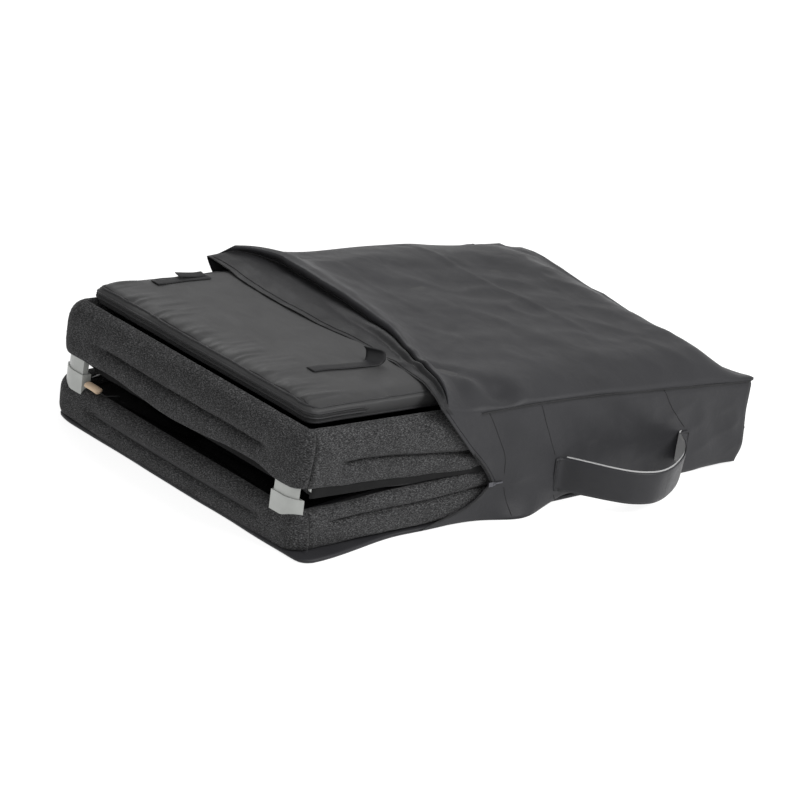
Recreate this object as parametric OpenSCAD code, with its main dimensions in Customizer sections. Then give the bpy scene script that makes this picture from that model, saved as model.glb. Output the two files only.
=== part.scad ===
// Travel playpen, folded flat and half inside its carry bag.
// Origin: on the floor, on the centreline of the width, halfway along the packed length.
// +X runs towards the closed end of the bag, -Y is the side with the carry handle, +Z is up.

/* [Frame] */
// Length of the lower frame
frame_l = 940; // [860:1:1130]
// Width of the frame
frame_w = 660; // [550:1:800]
// Plan radius of the frame's corners
corner_r = 50; // [48:1:60]
// Outer diameter of the rail tubes
tube_d = 20; // [16:0.5:20]
// Wall of the rail tubes
tube_wall = 1.5; // [1:0.1:2.5]
// Distance of a tube's centreline from the outline
tube_inset = 17; // [16:0.5:18]
// Length of tube held in each corner piece
socket_l = 30; // [20:1:36]
// Height of the feet
foot_h = 8; // [6:0.5:14]
// Thickness of the floor board
board_t = 9; // [4:0.5:14]

/* [Bands] */
// Height of the lower padded band
lower_band_h = 53; // [50:1:60]
// Height of the upper padded band
upper_band_h = 95; // [86:1:110]
// Thickness of the bands along the long sides
side_band_t = 40; // [40:0.5:46]
// Thickness of the bands along the short ends
end_band_t = 32; // [31:0.5:33]
// Gap between the folded bands above the left pivots
gap_left = 45; // [30:1:60]
// Gap between the folded bands above the right pivots
gap_right = 8; // [6:1:25]

/* [Legs] */
// Distance between the pins of each half leg
leg_half = 280; // [230:1:340]
// Thickness of a half leg
leg_t = 10; // [6:0.5:10]
// Height of a half leg
leg_h = 20; // [14:1:20]
// Diameter of the hinge pins
pin_d = 8; // [5:0.5:9]
// Distance of the leg pivots from the frame's ends
pivot_in = 34; // [33.5:0.5:36]
// Depth of the lower pivots below the top of the lower band
pivot_below = 15; // [14:0.5:18]

/* [Walls] */
// Thickness of the mesh walls
wall_t = 1.5; // [0.8:0.1:2]
// Distance of the side walls from the outline
wall_in = 42; // [42:0.5:43]

/* [Mattress] */
// Thickness of the mattress
mat_t = 36; // [20:1:50]
// Depth that the mattress sinks into the upper band
mat_sink = 8; // [2:1:14]
// Length of each fastening strap on the mattress
strap_l = 115; // [80:1:150]
// Width of each fastening strap
strap_w = 22; // [12:1:30]
// Distance of the straps from the frame's left end
strap_from_end = 90; // [70:1:120]

/* [Bag] */
// Thickness of the bag fabric
bag_t = 1.5; // [0.8:0.1:3]
// Free room between the frame and the bag's sides
bag_clear = 1.5; // [0.5:0.1:4]
// Length of the bag beyond the frame
bag_slack = 60; // [30:1:90]
// Height of the bag's closed end
bag_end_h = 165; // [150:1:185]
// Distance of the mouth's upper edge from the frame's left end
mouth_top = 285; // [250:1:350]
// Distance of the mouth's lower edge from the frame's left end
mouth_low = 395; // [360:1:460]
// Height of the zip slider above the floor
zip_h = 62; // [50:1:90]
// Width of the handle strap
handle_w = 62; // [30:1:64]
// Thickness of the handle strap
handle_t = 2.5; // [1.5:0.1:4]
// Free length of the handle between its sewn ends
handle_span = 288; // [220:1:340]
// How far the handle stands out from the bag
handle_out = 88; // [60:1:110]

/* [Hidden] */
$fn = 48;

// clearances
run_fit = 0.05;    // radial, pin in a turning hole
press_fit = 0.05;  // radial, pin in a fixed hole
fabric_gap = 0.5;  // soft pads round rigid parts
loose_eye = 1.6;   // radial, at the three tops that only follow the fold
end_gap = 0.2;     // between a tube's end and the elbow in its socket
mitre_gap = 4;     // between folded wall panels
knee_gap = 2;      // between a wall panel's fold and the leg's knee

// the frame, front left corner first
x_left = -(frame_l + bag_slack) / 2;
x_right = x_left + frame_l;
x_end = x_right + bag_slack;
half_w = frame_w / 2;
tube_r = tube_d / 2;
elbow_r = tube_r + 2;
socket_r = tube_r + 2.5;
pin_r = pin_d / 2;
pin_head_r = pin_r + 3;

// heights of the lower frame
board_z = foot_h;
lower_z = board_z + board_t;
lower_top = lower_z + lower_band_h;
base_pivot_z = lower_top - pivot_below;
base_tube_z = base_pivot_z - 19;

// the folded linkage: the upper frame rests tilted, low at the right
span = frame_l - 2 * pivot_in;
tilt = atan((gap_left - gap_right) / span);
top_span = span / cos(tilt);
top_l = top_span + 2 * pivot_in;
pivot_x = x_left + pivot_in;
top_pivot_z = lower_top + gap_left;
angle_left = asin((gap_left + pivot_below) / (2 * leg_half));
angle_right = asin((gap_right + pivot_below) / (2 * leg_half));
rise_mid = (gap_left + gap_right) / 2 + pivot_below;
top_tube_h = 65;

// layers across each corner, from the outline inwards
lug_v = 8;
lug_t = 5;
upper_leg_v = lug_v + lug_t + 1;
lower_leg_v = upper_leg_v + leg_t + 3;
pin_end_v = lower_leg_v + leg_t + 2.5;
eye_r = leg_h / 2 + 2;
lug_r = 8;

// the corner shoes that show between the folded bands: the upper one sits in the lower one's cup
shoe_in = 3;
shoe_wall = 2.2;
shoe_fit = 1.3;
shoe_u = pivot_in - eye_r - 1;
shoe_v = 76;
shoe_drop = 24;
shoe_lap = 3;
cup_over = 16;
cup_h_left = gap_left - shoe_drop + shoe_lap;
cup_h_right = gap_right + cup_over;
cup_floor_z = base_tube_z + socket_r - 1.5;

// the mattress, in the upper frame
mat_end_in = pivot_in + 3;
mat_side_in = wall_in + 4;
mat_h = upper_band_h - mat_sink;
mat_top = mat_h + mat_t;
mat_r = 12;
strap_t = 2;
strap_in_front = 115;
strap_in_back = 99;

// the bag
bag_y = half_w + bag_clear;
face_y = bag_y + bag_t;
mouth_x = x_left + mouth_top;
mouth_low_x = x_left + mouth_low;
shoulder_x = x_right - mat_end_in + 9;
bag_lift = mat_top + strap_t + 1;
flap_front_x = x_left + strap_from_end + strap_l + 4;
flap_back_x = mouth_x - 11;
zip_x = mouth_low_x + 5;
sewn_gap = 0.3;
patch_l = 26;
handle_x = x_left + 534;
handle_z = 53;
handle_full_at = 24;

// height at x of the plane that lies h above the upper frame's pivots
function top_plane(x, h) = top_pivot_z + h / cos(tilt) - (x - pivot_x) * tan(tilt);
function shoulder_z() = top_plane(shoulder_x, bag_lift + bag_t);
function mouth_z() = top_plane(mouth_x, bag_lift + bag_t);

// ---- placing ----
// a corner's own frame: u inwards from the end, v inwards from the side, z up
module on_corner(length, right, back) {
    if (right && back) translate([x_left + length, half_w, 0]) rotate([0, 0, 180]) children();
    if (right && !back) translate([x_left + length, -half_w, 0]) mirror([1, 0, 0]) children();
    if (!right && back) translate([x_left, half_w, 0]) mirror([0, 1, 0]) children();
    if (!right && !back) translate([x_left, -half_w, 0]) children();
}

module on_base(right, back) {
    $right = right;
    on_corner(frame_l, right, back) children();
}

// tilts what is drawn level, with its pivots at height 0, into the upper frame's rest
module tilted() {
    translate([pivot_x, 0, top_pivot_z]) rotate([0, tilt, 0]) translate([-pivot_x, 0, 0]) children();
}

module on_top(right, back) {
    tilted() on_corner(top_l, right, back) children();
}

// a cylinder along Y from v0 to v1 at (u, z)
module cross_rod(u, z, v0, v1, r) {
    translate([u, v0, z]) rotate([-90, 0, 0]) cylinder(h = v1 - v0, r = r);
}

// a flat shape drawn in u and z, standing in the layer from v0 to v0 + t
module layer(v0, t) {
    translate([0, v0 + t, 0]) rotate([90, 0, 0]) linear_extrude(t) children();
}

module rounded_plan(length, width, r) {
    translate([r, -width / 2]) square([length - 2 * r, width]);
    translate([0, r - width / 2]) square([length, width - 2 * r]);
    for (x = [r, length - r], y = [r - width / 2, width / 2 - r]) translate([x, y]) circle(r);
}

// ---- corners ----
// the corner's plan out to u1 and v1, drawn in from its outline
module shoe_plan(inset, u1, v1) {
    intersection() {
        square([u1, v1]);
        union() {
            translate([corner_r, corner_r]) circle(corner_r - inset);
            translate([inset, corner_r]) square([corner_r, corner_r]);
            translate([corner_r, inset]) square([corner_r, corner_r]);
        }
    }
}

module base_cup(grow) {
    cup_h = $right ? cup_h_right : cup_h_left;
    translate([0, 0, cup_floor_z - grow]) linear_extrude(lower_top + cup_h - cup_floor_z + 2 * grow)
        shoe_plan(shoe_in - grow, shoe_u + grow, shoe_v + grow);
}

module cup_hollow() {
    translate([0, 0, cup_floor_z + shoe_wall]) linear_extrude(lower_top + cup_h_left + cup_h_right)
        shoe_plan(shoe_in + shoe_wall, shoe_u - shoe_wall, shoe_v - shoe_wall);
}

module top_shoe(bottom, top, grow) {
    inside = shoe_wall + shoe_fit;
    translate([0, 0, bottom - grow]) linear_extrude(top - bottom + 2 * grow)
        shoe_plan(shoe_in + inside - grow, shoe_u - inside + grow, shoe_v - inside + grow);
}

// elbow, two sockets and the lug that carries the leg pivot
module corner_solid(tube_z, pivot_z, grow) {
    translate([corner_r, corner_r, tube_z]) rotate([0, 0, 180])
        rotate_extrude(angle = 90) translate([corner_r - tube_inset, 0]) circle(elbow_r + grow);
    translate([corner_r, tube_inset, tube_z]) rotate([0, 90, 0])
        cylinder(h = socket_l + grow, r = socket_r + grow);
    cross_rod(tube_inset, tube_z, corner_r, corner_r + socket_l + grow, socket_r + grow);
    layer(lug_v - grow, lug_t + 2 * grow) {
        translate([pivot_in, pivot_z]) circle(lug_r + grow);
        translate([pivot_in - lug_r - grow, min(tube_z, pivot_z)])
            square([2 * (lug_r + grow), abs(tube_z - pivot_z)]);
    }
}

// what a corner piece leaves out for the tubes and its pin
module corner_bores(tube_z, pivot_z, boss_end) {
    translate([corner_r, tube_inset, tube_z]) rotate([0, 90, 0])
        cylinder(h = socket_l + 1, r = tube_r + run_fit);
    cross_rod(tube_inset, tube_z, corner_r, corner_r + socket_l + 1, tube_r + run_fit);
    cross_rod(pivot_in, pivot_z, lug_v - 1, boss_end + 1, pin_r - press_fit);
}

module base_corner() {
    boss_end = lower_leg_v - 0.5;
    color([0.62, 0.62, 0.60]) difference() {
        union() {
            corner_solid(base_tube_z, base_pivot_z, 0);
            cross_rod(pivot_in, base_pivot_z, lug_v, boss_end, lug_r);
            base_cup(0);
        }
        corner_bores(base_tube_z, base_pivot_z, boss_end);
        cup_hollow();
        translate([shoe_u + 0.01, lower_leg_v - 0.5, base_pivot_z - eye_r - 0.5])
            cube([corner_r + socket_l, leg_t + 20, 2 * eye_r]);
    }
}

module top_corner() {
    boss_end = upper_leg_v - 0.2;
    color([0.62, 0.62, 0.60]) difference() {
        union() {
            corner_solid(top_tube_h, 0, 0);
            cross_rod(pivot_in, 0, lug_v, boss_end, lug_r);
            top_shoe(-shoe_drop, top_tube_h, 0);
        }
        corner_bores(top_tube_h, 0, boss_end);
    }
}

// ---- tubes ----
module tube(length) {
    color([0.30, 0.31, 0.33]) difference() {
        cylinder(h = length, r = tube_r);
        translate([0, 0, -1]) cylinder(h = length + 2, r = tube_r - tube_wall);
    }
}

module long_tube(length, back) {
    translate([x_left + corner_r + end_gap, (back ? 1 : -1) * (half_w - tube_inset), 0])
        rotate([0, 90, 0]) tube(length - 2 * (corner_r + end_gap));
}

module end_tube(x) {
    translate([x, corner_r + end_gap - half_w, 0]) rotate([-90, 0, 0])
        tube(frame_w - 2 * (corner_r + end_gap));
}

module top_end_tube(x) {
    tilted() translate([0, 0, top_tube_h]) end_tube(x);
}

// ---- padded bands ----
module band_ring(length, height) {
    linear_extrude(height) difference() {
        rounded_plan(length, frame_w, corner_r);
        translate([end_band_t, side_band_t - half_w])
            square([length - 2 * end_band_t, frame_w - 2 * side_band_t]);
    }
}

// the wedge of the ring that one side keeps, parted along the corners' diagonals
module side_wedge(length, height, back) {
    gap = fabric_gap;
    reach = side_band_t + 8;
    s = back ? -1 : 1;
    translate([x_left, 0, -1]) linear_extrude(height + 2)
        polygon([[gap, -s * half_w], [length - gap, -s * half_w],
                 [length - reach - gap, s * (reach - half_w)], [reach + gap, s * (reach - half_w)]]);
}

module end_wedge(length, height, right) {
    gap = fabric_gap;
    reach = side_band_t + 8;
    a = right ? length : 0;
    b = right ? length - reach : reach;
    translate([x_left, 0, -1]) linear_extrude(height + 2)
        polygon([[a, gap - half_w], [b, reach + gap - half_w], [b, half_w - reach - gap], [a, half_w - gap]]);
}

// the recess in the lower band that the folded leg and its pins lie in
module lower_leg_recess() {
    from_u = pivot_in - eye_r - 4;
    length = leg_half + 2 * eye_r + 8;
    translate([from_u, lower_leg_v - 1, base_pivot_z - eye_r - 1])
        cube([length, side_band_t, lower_band_h]);
    translate([from_u, upper_leg_v - 4, base_tube_z + tube_r + 3])
        cube([length, side_band_t, lower_band_h]);
    cross_rod(pivot_in, base_pivot_z, lug_v, pin_end_v + 1, lug_r + fabric_gap);
}

// the recess under the upper band that the folded leg's top lies in
module upper_leg_recess() {
    from_u = pivot_in - eye_r - 4;
    length = leg_half * 2 / 3 + eye_r + 4;
    translate([from_u, upper_leg_v - 2, -1]) cube([length, leg_t + 6, eye_r + 3]);
}

module lower_band_cuts() {
    for (right = [false, true], back = [false, true]) {
        on_base(right, back) {
            corner_solid(base_tube_z, base_pivot_z, fabric_gap);
            base_cup(fabric_gap);
            lower_leg_recess();
        }
    }
}

module lower_pad(cut_tube) {
    color([0.25, 0.25, 0.26]) difference() {
        intersection() {
            translate([x_left, 0, lower_z]) band_ring(frame_l, lower_band_h);
            children();
        }
        lower_band_cuts();
        cut_tube_hole(cut_tube, frame_l, base_tube_z);
    }
}

// room for the tube of side "front", "back", "left" or "right"
module cut_tube_hole(side, length, tube_z) {
    r = tube_r + fabric_gap;
    if (side == "front" || side == "back")
        translate([x_left + corner_r, (side == "back" ? 1 : -1) * (half_w - tube_inset), tube_z])
            rotate([0, 90, 0]) cylinder(h = length - 2 * corner_r, r = r);
    else
        translate([side == "left" ? x_left + tube_inset : x_left + length - tube_inset,
                   corner_r - half_w, tube_z])
            rotate([-90, 0, 0]) cylinder(h = frame_w - 2 * corner_r, r = r);
}

module upper_pad(cut_tube) {
    color([0.25, 0.25, 0.26]) difference() {
        tilted() difference() {
            intersection() {
                translate([x_left, 0, 0]) band_ring(top_l, upper_band_h);
                children();
            }
            cut_tube_hole(cut_tube, top_l, top_tube_h);
            for (right = [false, true], back = [false, true]) on_corner(top_l, right, back) {
                corner_solid(top_tube_h, 0, fabric_gap);
                top_shoe(-shoe_drop, top_tube_h, fabric_gap);
                upper_leg_recess();
            }
        }
        for (right = [false, true], back = [false, true])
            on_base(right, back) base_cup(2);
    }
}

// ---- legs ----
module leg_outline(near_hole, far_hole) {
    difference() {
        union() {
            translate([0, -leg_h / 2]) square([leg_half, leg_h]);
            circle(eye_r);
            translate([leg_half, 0]) circle(eye_r);
        }
        circle(near_hole);
        translate([leg_half, 0]) circle(far_hole);
    }
}

module lower_leg(angle) {
    color([0.35, 0.36, 0.38]) layer(lower_leg_v, leg_t)
        translate([pivot_in, base_pivot_z]) rotate(angle)
            leg_outline(pin_r + run_fit, pin_r - press_fit);
}

// the upper half hangs from the point above the lower pivot
module upper_leg(angle, loose) {
    top_z = base_pivot_z + 2 * leg_half * sin(angle);
    top_fit = loose ? loose_eye : run_fit;
    color([0.35, 0.36, 0.38]) layer(upper_leg_v, leg_t)
        translate([pivot_in, top_z]) rotate(-angle)
            leg_outline(pin_r + top_fit, pin_r + run_fit);
}

module knee_pin(angle) {
    u = pivot_in + leg_half * cos(angle);
    z = base_pivot_z + leg_half * sin(angle);
    color([0.7, 0.7, 0.72]) {
        cross_rod(u, z, upper_leg_v - 2, pin_end_v, pin_r);
        cross_rod(u, z, upper_leg_v - 2, upper_leg_v - 0.5, pin_head_r);
        cross_rod(u, z, upper_leg_v + leg_t + 0.5, lower_leg_v - 0.2, pin_head_r);
        cross_rod(u, z, lower_leg_v + leg_t + 0.2, pin_end_v, pin_head_r);
    }
}

// a pin with a head on its inner end
module pivot_pin(z, inner_v) {
    color([0.7, 0.7, 0.72]) {
        cross_rod(pivot_in, z, lug_v, inner_v, pin_r);
        cross_rod(pivot_in, z, inner_v - 1.5, inner_v, pin_head_r);
    }
}

// ---- walls ----
// a folded wall panel: width along X, cut along its mitres, depth along +Y
module wall_panel(width, depth, below) {
    color([0.10, 0.10, 0.11]) translate([0, 0, below ? -wall_t - 0.2 : 0.2]) linear_extrude(wall_t)
        polygon([[mitre_gap - width / 2, 0], [width / 2 - mitre_gap, 0],
                 [width / 2 - depth - mitre_gap, depth], [mitre_gap + depth - width / 2, depth]]);
}

module side_wall(back, upper) {
    depth = min(leg_half - knee_gap, half_w - wall_in - mitre_gap);
    fold = asin(rise_mid / (2 * (depth + knee_gap)));
    translate([pivot_x + span / 2, 0, base_pivot_z + (upper ? rise_mid : 0)])
        rotate([0, 0, back ? 180 : 0]) translate([0, wall_in - half_w, 0])
            rotate([upper ? -fold : fold, 0, 0]) wall_panel(span, depth, !upper);
}

module end_wall(right, upper) {
    rise = pivot_below + (right ? gap_right : gap_left);
    depth = min(leg_half - knee_gap, half_w - wall_in - mitre_gap - 2, span / 2 - mitre_gap);
    fold = asin(rise / (2 * (depth + knee_gap)));
    translate([right ? x_right - pivot_in : pivot_x, 0, base_pivot_z + (upper ? rise : 0)])
        rotate([0, 0, right ? 90 : -90])
            rotate([upper ? -fold : fold, 0, 0]) wall_panel(2 * (half_w - wall_in), depth, !upper);
}

// ---- mattress ----
module mattress_pad() {
    color([0.36, 0.36, 0.36]) tilted() translate([x_left + mat_end_in, 0, mat_h])
        linear_extrude(mat_t) rounded_plan(top_l - 2 * mat_end_in, frame_w - 2 * mat_side_in, mat_r);
}

module mattress_straps() {
    color([0.15, 0.15, 0.16]) tilted() {
        translate([x_left + strap_from_end, strap_in_front - half_w - strap_w / 2, mat_top])
            cube([strap_l, strap_w, strap_t]);
        translate([x_left + strap_from_end, half_w - strap_in_back - strap_w / 2, mat_top])
            cube([strap_l, strap_w, strap_t]);
    }
}

// ---- bag ----
module bag_bottom() {
    color([0.29, 0.29, 0.30]) translate([mouth_low_x, -bag_y, 0])
        cube([x_end - bag_t - mouth_low_x, 2 * bag_y, bag_t]);
}

module bag_top() {
    slope = (bag_end_h - shoulder_z()) / (x_end - shoulder_x);
    end_z = bag_end_h - slope * bag_t;
    color([0.29, 0.29, 0.30]) translate([0, bag_y, 0]) rotate([90, 0, 0]) linear_extrude(2 * bag_y)
        polygon([[mouth_x, mouth_z()], [shoulder_x, shoulder_z()], [x_end - bag_t, end_z],
                 [x_end - bag_t, end_z - bag_t], [shoulder_x, shoulder_z() - bag_t],
                 [mouth_x, mouth_z() - bag_t]]);
}

// the edge of the top that is tucked under, on the mattress
module bag_flap() {
    color([0.26, 0.26, 0.27]) tilted() translate([0, 0, mat_top + 0.6]) linear_extrude(bag_t)
        polygon([[flap_front_x, 126 - half_w], [flap_back_x, half_w - 75],
                 [mouth_x + 10, half_w - 30], [mouth_x + 10, 60 - half_w]]);
}

module bag_side(back) {
    color([0.29, 0.29, 0.30]) translate([0, back ? face_y : -bag_y, 0]) rotate([90, 0, 0])
        linear_extrude(bag_t)
            polygon([[mouth_low_x, 0], [x_end, 0], [x_end, bag_end_h], [shoulder_x, shoulder_z()],
                     [mouth_x, mouth_z()], [zip_x, zip_h]]);
}

module bag_end() {
    color([0.29, 0.29, 0.30]) translate([x_end - bag_t, -bag_y, 0]) cube([bag_t, 2 * bag_y, bag_end_h]);
}

module handle_patches() {
    color([0.25, 0.25, 0.26])
        for (x = [handle_x - patch_l, handle_x + handle_span])
            translate([x, -face_y - handle_t, handle_z - handle_w / 2])
                cube([patch_l, handle_t, handle_w]);
}

// the free loop, cut back at its ends so that it can swing
module bag_handle() {
    arc_r = (pow(handle_span / 2, 2) + pow(handle_out, 2)) / (2 * handle_out);
    start_y = -face_y - handle_t - sewn_gap;
    full_y = start_y - handle_full_at;
    out_y = start_y - handle_out - 1;
    taper_h = handle_w / 2;
    color([0.25, 0.25, 0.26]) intersection() {
        translate([handle_x + handle_span / 2, start_y - handle_out + arc_r, handle_z - handle_w / 2])
            linear_extrude(handle_w) difference() {
                circle(arc_r);
                circle(arc_r - handle_t);
            }
        translate([handle_x, 0, handle_z]) rotate([90, 0, 90]) linear_extrude(handle_span)
            polygon([[start_y, -1], [full_y, -taper_h], [out_y, -taper_h],
                     [out_y, taper_h], [full_y, taper_h], [start_y, 1]]);
    }
}

// ---- zip ----
zip_pin_x = zip_x + 13;
zip_pin_y = -face_y - 2.8;
zip_pin_r = 1;

module zip_slider() {
    color([0.12, 0.12, 0.13]) {
        translate([zip_x, -face_y - 4.2, zip_h - 4]) cube([10, 4.2, 8]);
        for (z = [zip_h - 3, zip_h + 1.8])
            translate([zip_x + 9, zip_pin_y - 1.4, z]) cube([5.5, 2.8, 1.2]);
        translate([zip_pin_x, zip_pin_y, zip_h - 2.4]) cylinder(h = 4.8, r = zip_pin_r);
    }
}

module zip_pull() {
    color([0.12, 0.12, 0.13]) difference() {
        union() {
            translate([zip_pin_x, zip_pin_y, zip_h - 1.5]) cylinder(h = 3, r = 2.2);
            translate([zip_pin_x, zip_pin_y - 0.8, zip_h - 1.5]) cube([18, 1.6, 3]);
        }
        translate([zip_pin_x, zip_pin_y, zip_h - 2]) cylinder(h = 4, r = zip_pin_r + run_fit);
    }
}

module feet() {
    color([0.12, 0.12, 0.13]) for (right = [false, true], back = [false, true]) {
        bottom = right ? bag_t + 0.2 : 0;
        on_base(right, back) translate([corner_r, corner_r, bottom]) cylinder(h = foot_h - bottom, r = 22);
    }
}

module floor_board() {
    color([0.10, 0.10, 0.11]) translate([x_left, 0, board_z]) linear_extrude(board_t)
        rounded_plan(frame_l, frame_w, corner_r);
}

module base_pivot_pins() {
    for (right = [false, true], back = [false, true])
        on_base(right, back) pivot_pin(base_pivot_z, pin_end_v);
}

module top_pivot_pins() {
    for (right = [false, true], back = [false, true])
        on_top(right, back) pivot_pin(0, upper_leg_v + leg_t + 2);
}

floor_board();
feet();  // base_feet
translate([0, 0, base_tube_z]) long_tube(frame_l, false);  // base_rail_front
translate([0, 0, base_tube_z]) long_tube(frame_l, true);  // base_rail_back
translate([0, 0, base_tube_z]) end_tube(x_left + tube_inset);  // base_rail_left
translate([0, 0, base_tube_z]) end_tube(x_right - tube_inset);  // base_rail_right
on_base(false, false) base_corner();  // base_corner_fl
on_base(false, true) base_corner();  // base_corner_bl
on_base(true, false) base_corner();  // base_corner_fr
on_base(true, true) base_corner();  // base_corner_br
base_pivot_pins();
lower_pad("front") side_wedge(frame_l, lower_top, false);  // lower_pad_front
lower_pad("back") side_wedge(frame_l, lower_top, true);  // lower_pad_back
lower_pad("left") end_wedge(frame_l, lower_top, false);  // lower_pad_left
lower_pad("right") end_wedge(frame_l, lower_top, true);  // lower_pad_right
on_base(false, false) lower_leg(angle_left);  // lower_leg_fl
on_base(false, true) lower_leg(angle_left);  // lower_leg_bl
on_base(true, false) lower_leg(angle_right);  // lower_leg_fr
on_base(true, true) lower_leg(angle_right);  // lower_leg_br
on_base(false, false) upper_leg(angle_left, false);  // upper_leg_fl
on_base(false, true) upper_leg(angle_left, true);  // upper_leg_bl
on_base(true, false) upper_leg(angle_right, true);  // upper_leg_fr
on_base(true, true) upper_leg(angle_right, true);  // upper_leg_br
on_base(false, false) knee_pin(angle_left);  // knee_pin_fl
on_base(false, true) knee_pin(angle_left);  // knee_pin_bl
on_base(true, false) knee_pin(angle_right);  // knee_pin_fr
on_base(true, true) knee_pin(angle_right);  // knee_pin_br
tilted() translate([0, 0, top_tube_h]) long_tube(top_l, false);  // top_rail_front
tilted() translate([0, 0, top_tube_h]) long_tube(top_l, true);  // top_rail_back
top_end_tube(x_left + tube_inset);  // top_rail_left
top_end_tube(x_left + top_l - tube_inset);  // top_rail_right
on_top(false, false) top_corner();  // top_corner_fl
on_top(false, true) top_corner();  // top_corner_bl
on_top(true, false) top_corner();  // top_corner_fr
on_top(true, true) top_corner();  // top_corner_br
top_pivot_pins();
upper_pad("front") side_wedge(top_l, upper_band_h, false);  // upper_pad_front
upper_pad("back") side_wedge(top_l, upper_band_h, true);  // upper_pad_back
upper_pad("left") end_wedge(top_l, upper_band_h, false);  // upper_pad_left
upper_pad("right") end_wedge(top_l, upper_band_h, true);  // upper_pad_right
side_wall(false, false);  // wall_front_lower
side_wall(false, true);  // wall_front_upper
side_wall(true, false);  // wall_back_lower
side_wall(true, true);  // wall_back_upper
end_wall(false, false);  // wall_left_lower
end_wall(false, true);  // wall_left_upper
end_wall(true, false);  // wall_right_lower
end_wall(true, true);  // wall_right_upper
mattress_pad();
mattress_straps();
bag_bottom();
bag_top();
bag_flap();
bag_side(false);  // bag_side_front
bag_side(true);  // bag_side_back
bag_end();
handle_patches();
bag_handle();
zip_slider();
zip_pull();
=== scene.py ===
"""Looks of a travel playpen, folded flat and half in its carry bag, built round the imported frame."""

import math

import bmesh
import bpy
import numpy as np
from mathutils import Matrix, Vector
from mathutils.bvhtree import BVHTree


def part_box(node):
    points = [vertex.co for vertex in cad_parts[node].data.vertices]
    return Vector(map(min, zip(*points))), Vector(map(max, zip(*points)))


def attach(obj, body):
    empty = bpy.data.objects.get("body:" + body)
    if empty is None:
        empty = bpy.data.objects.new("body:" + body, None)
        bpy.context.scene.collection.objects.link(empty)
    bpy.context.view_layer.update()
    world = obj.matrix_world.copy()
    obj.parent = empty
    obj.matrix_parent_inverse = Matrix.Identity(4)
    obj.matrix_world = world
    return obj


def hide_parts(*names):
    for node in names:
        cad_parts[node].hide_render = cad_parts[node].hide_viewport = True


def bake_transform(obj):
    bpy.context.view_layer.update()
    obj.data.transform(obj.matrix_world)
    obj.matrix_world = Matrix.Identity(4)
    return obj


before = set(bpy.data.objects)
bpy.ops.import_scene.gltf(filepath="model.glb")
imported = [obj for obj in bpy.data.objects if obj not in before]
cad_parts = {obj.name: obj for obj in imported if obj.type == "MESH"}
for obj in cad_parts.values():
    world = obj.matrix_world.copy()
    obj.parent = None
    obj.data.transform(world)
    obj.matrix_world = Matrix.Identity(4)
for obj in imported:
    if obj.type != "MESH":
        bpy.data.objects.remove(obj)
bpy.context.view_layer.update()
scene = bpy.context.scene

# ---------------- sizes, in metres
X0, HALF_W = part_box("floor_board")[0].x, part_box("floor_board")[1].y
X1, X_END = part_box("floor_board")[1].x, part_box("bag_end")[1].x
LOW_Z1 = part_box("lower_pad_front")[1].z
BAND_R, BASE_R = 0.036, 0.022
SIDE_T, END_T = 0.040, 0.032
PIVOT_IN, GAP_LEFT, GAP_RIGHT = 0.034, 0.045, 0.008
SPAN = (X1 - X0) - 2 * PIVOT_IN
TILT = math.atan((GAP_LEFT - GAP_RIGHT) / SPAN)
TOP_L = SPAN / math.cos(TILT) + 2 * PIVOT_IN
PIVOT = (X0 + PIVOT_IN, LOW_Z1 + GAP_LEFT)
MAT_Z0, MAT_Z1 = 0.087, 0.123
MAT_END_IN, MAT_SIDE_IN = 0.037, 0.046
MAT_X0, MAT_X1 = X0 + MAT_END_IN, X0 + TOP_L - MAT_END_IN
MAT_Y0, MAT_Y1 = MAT_SIDE_IN - HALF_W, HALF_W - 0.020
FACE = HALF_W + 0.003
MM = 0.001


# ---------------- small maths
def tilt(p):
    """A point drawn level, its height measured from the upper pivots, at the upper frame's rest."""
    p = np.asarray(p, float)
    x, z = p[..., 0] - PIVOT[0], p[..., 2]
    c, s = math.cos(TILT), math.sin(TILT)
    return np.stack([PIVOT[0] + x * c + z * s, p[..., 1], PIVOT[1] - x * s + z * c], -1)


def plane_z(x, h):
    """Height at x of the plane that lies h above the upper pivots."""
    return PIVOT[1] + h / math.cos(TILT) - (np.asarray(x) - PIVOT[0]) * math.tan(TILT)


def ease(a, b, x):
    t = np.clip((np.asarray(x, float) - a) / (b - a), 0, 1)
    return t * t * (3 - 2 * t)


def bell(x, centre, width):
    return np.exp(-(((np.asarray(x, float) - centre) / width) ** 2))


def curve(xs, ys, x):
    """Smooth line through (xs, ys), with no overshoot at flat ends."""
    xs, ys, x = np.asarray(xs, float), np.asarray(ys, float), np.asarray(x, float)
    h = np.diff(xs)
    d = np.diff(ys) / h
    m = np.zeros_like(ys)
    m[1:-1] = np.where(d[1:] * d[:-1] > 0, 2 * d[1:] * d[:-1] / (d[1:] + d[:-1] + 1e-12), 0)
    m[0], m[-1] = d[0], d[-1]
    i = np.clip(np.searchsorted(xs, x) - 1, 0, len(xs) - 2)
    t = np.clip((x - xs[i]) / h[i], 0, 1)
    return (
        (1 + 2 * t) * (1 - t) ** 2 * ys[i]
        + t * (1 - t) ** 2 * h[i] * m[i]
        + t * t * (3 - 2 * t) * ys[i + 1]
        + t * t * (t - 1) * h[i] * m[i + 1]
    )


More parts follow.
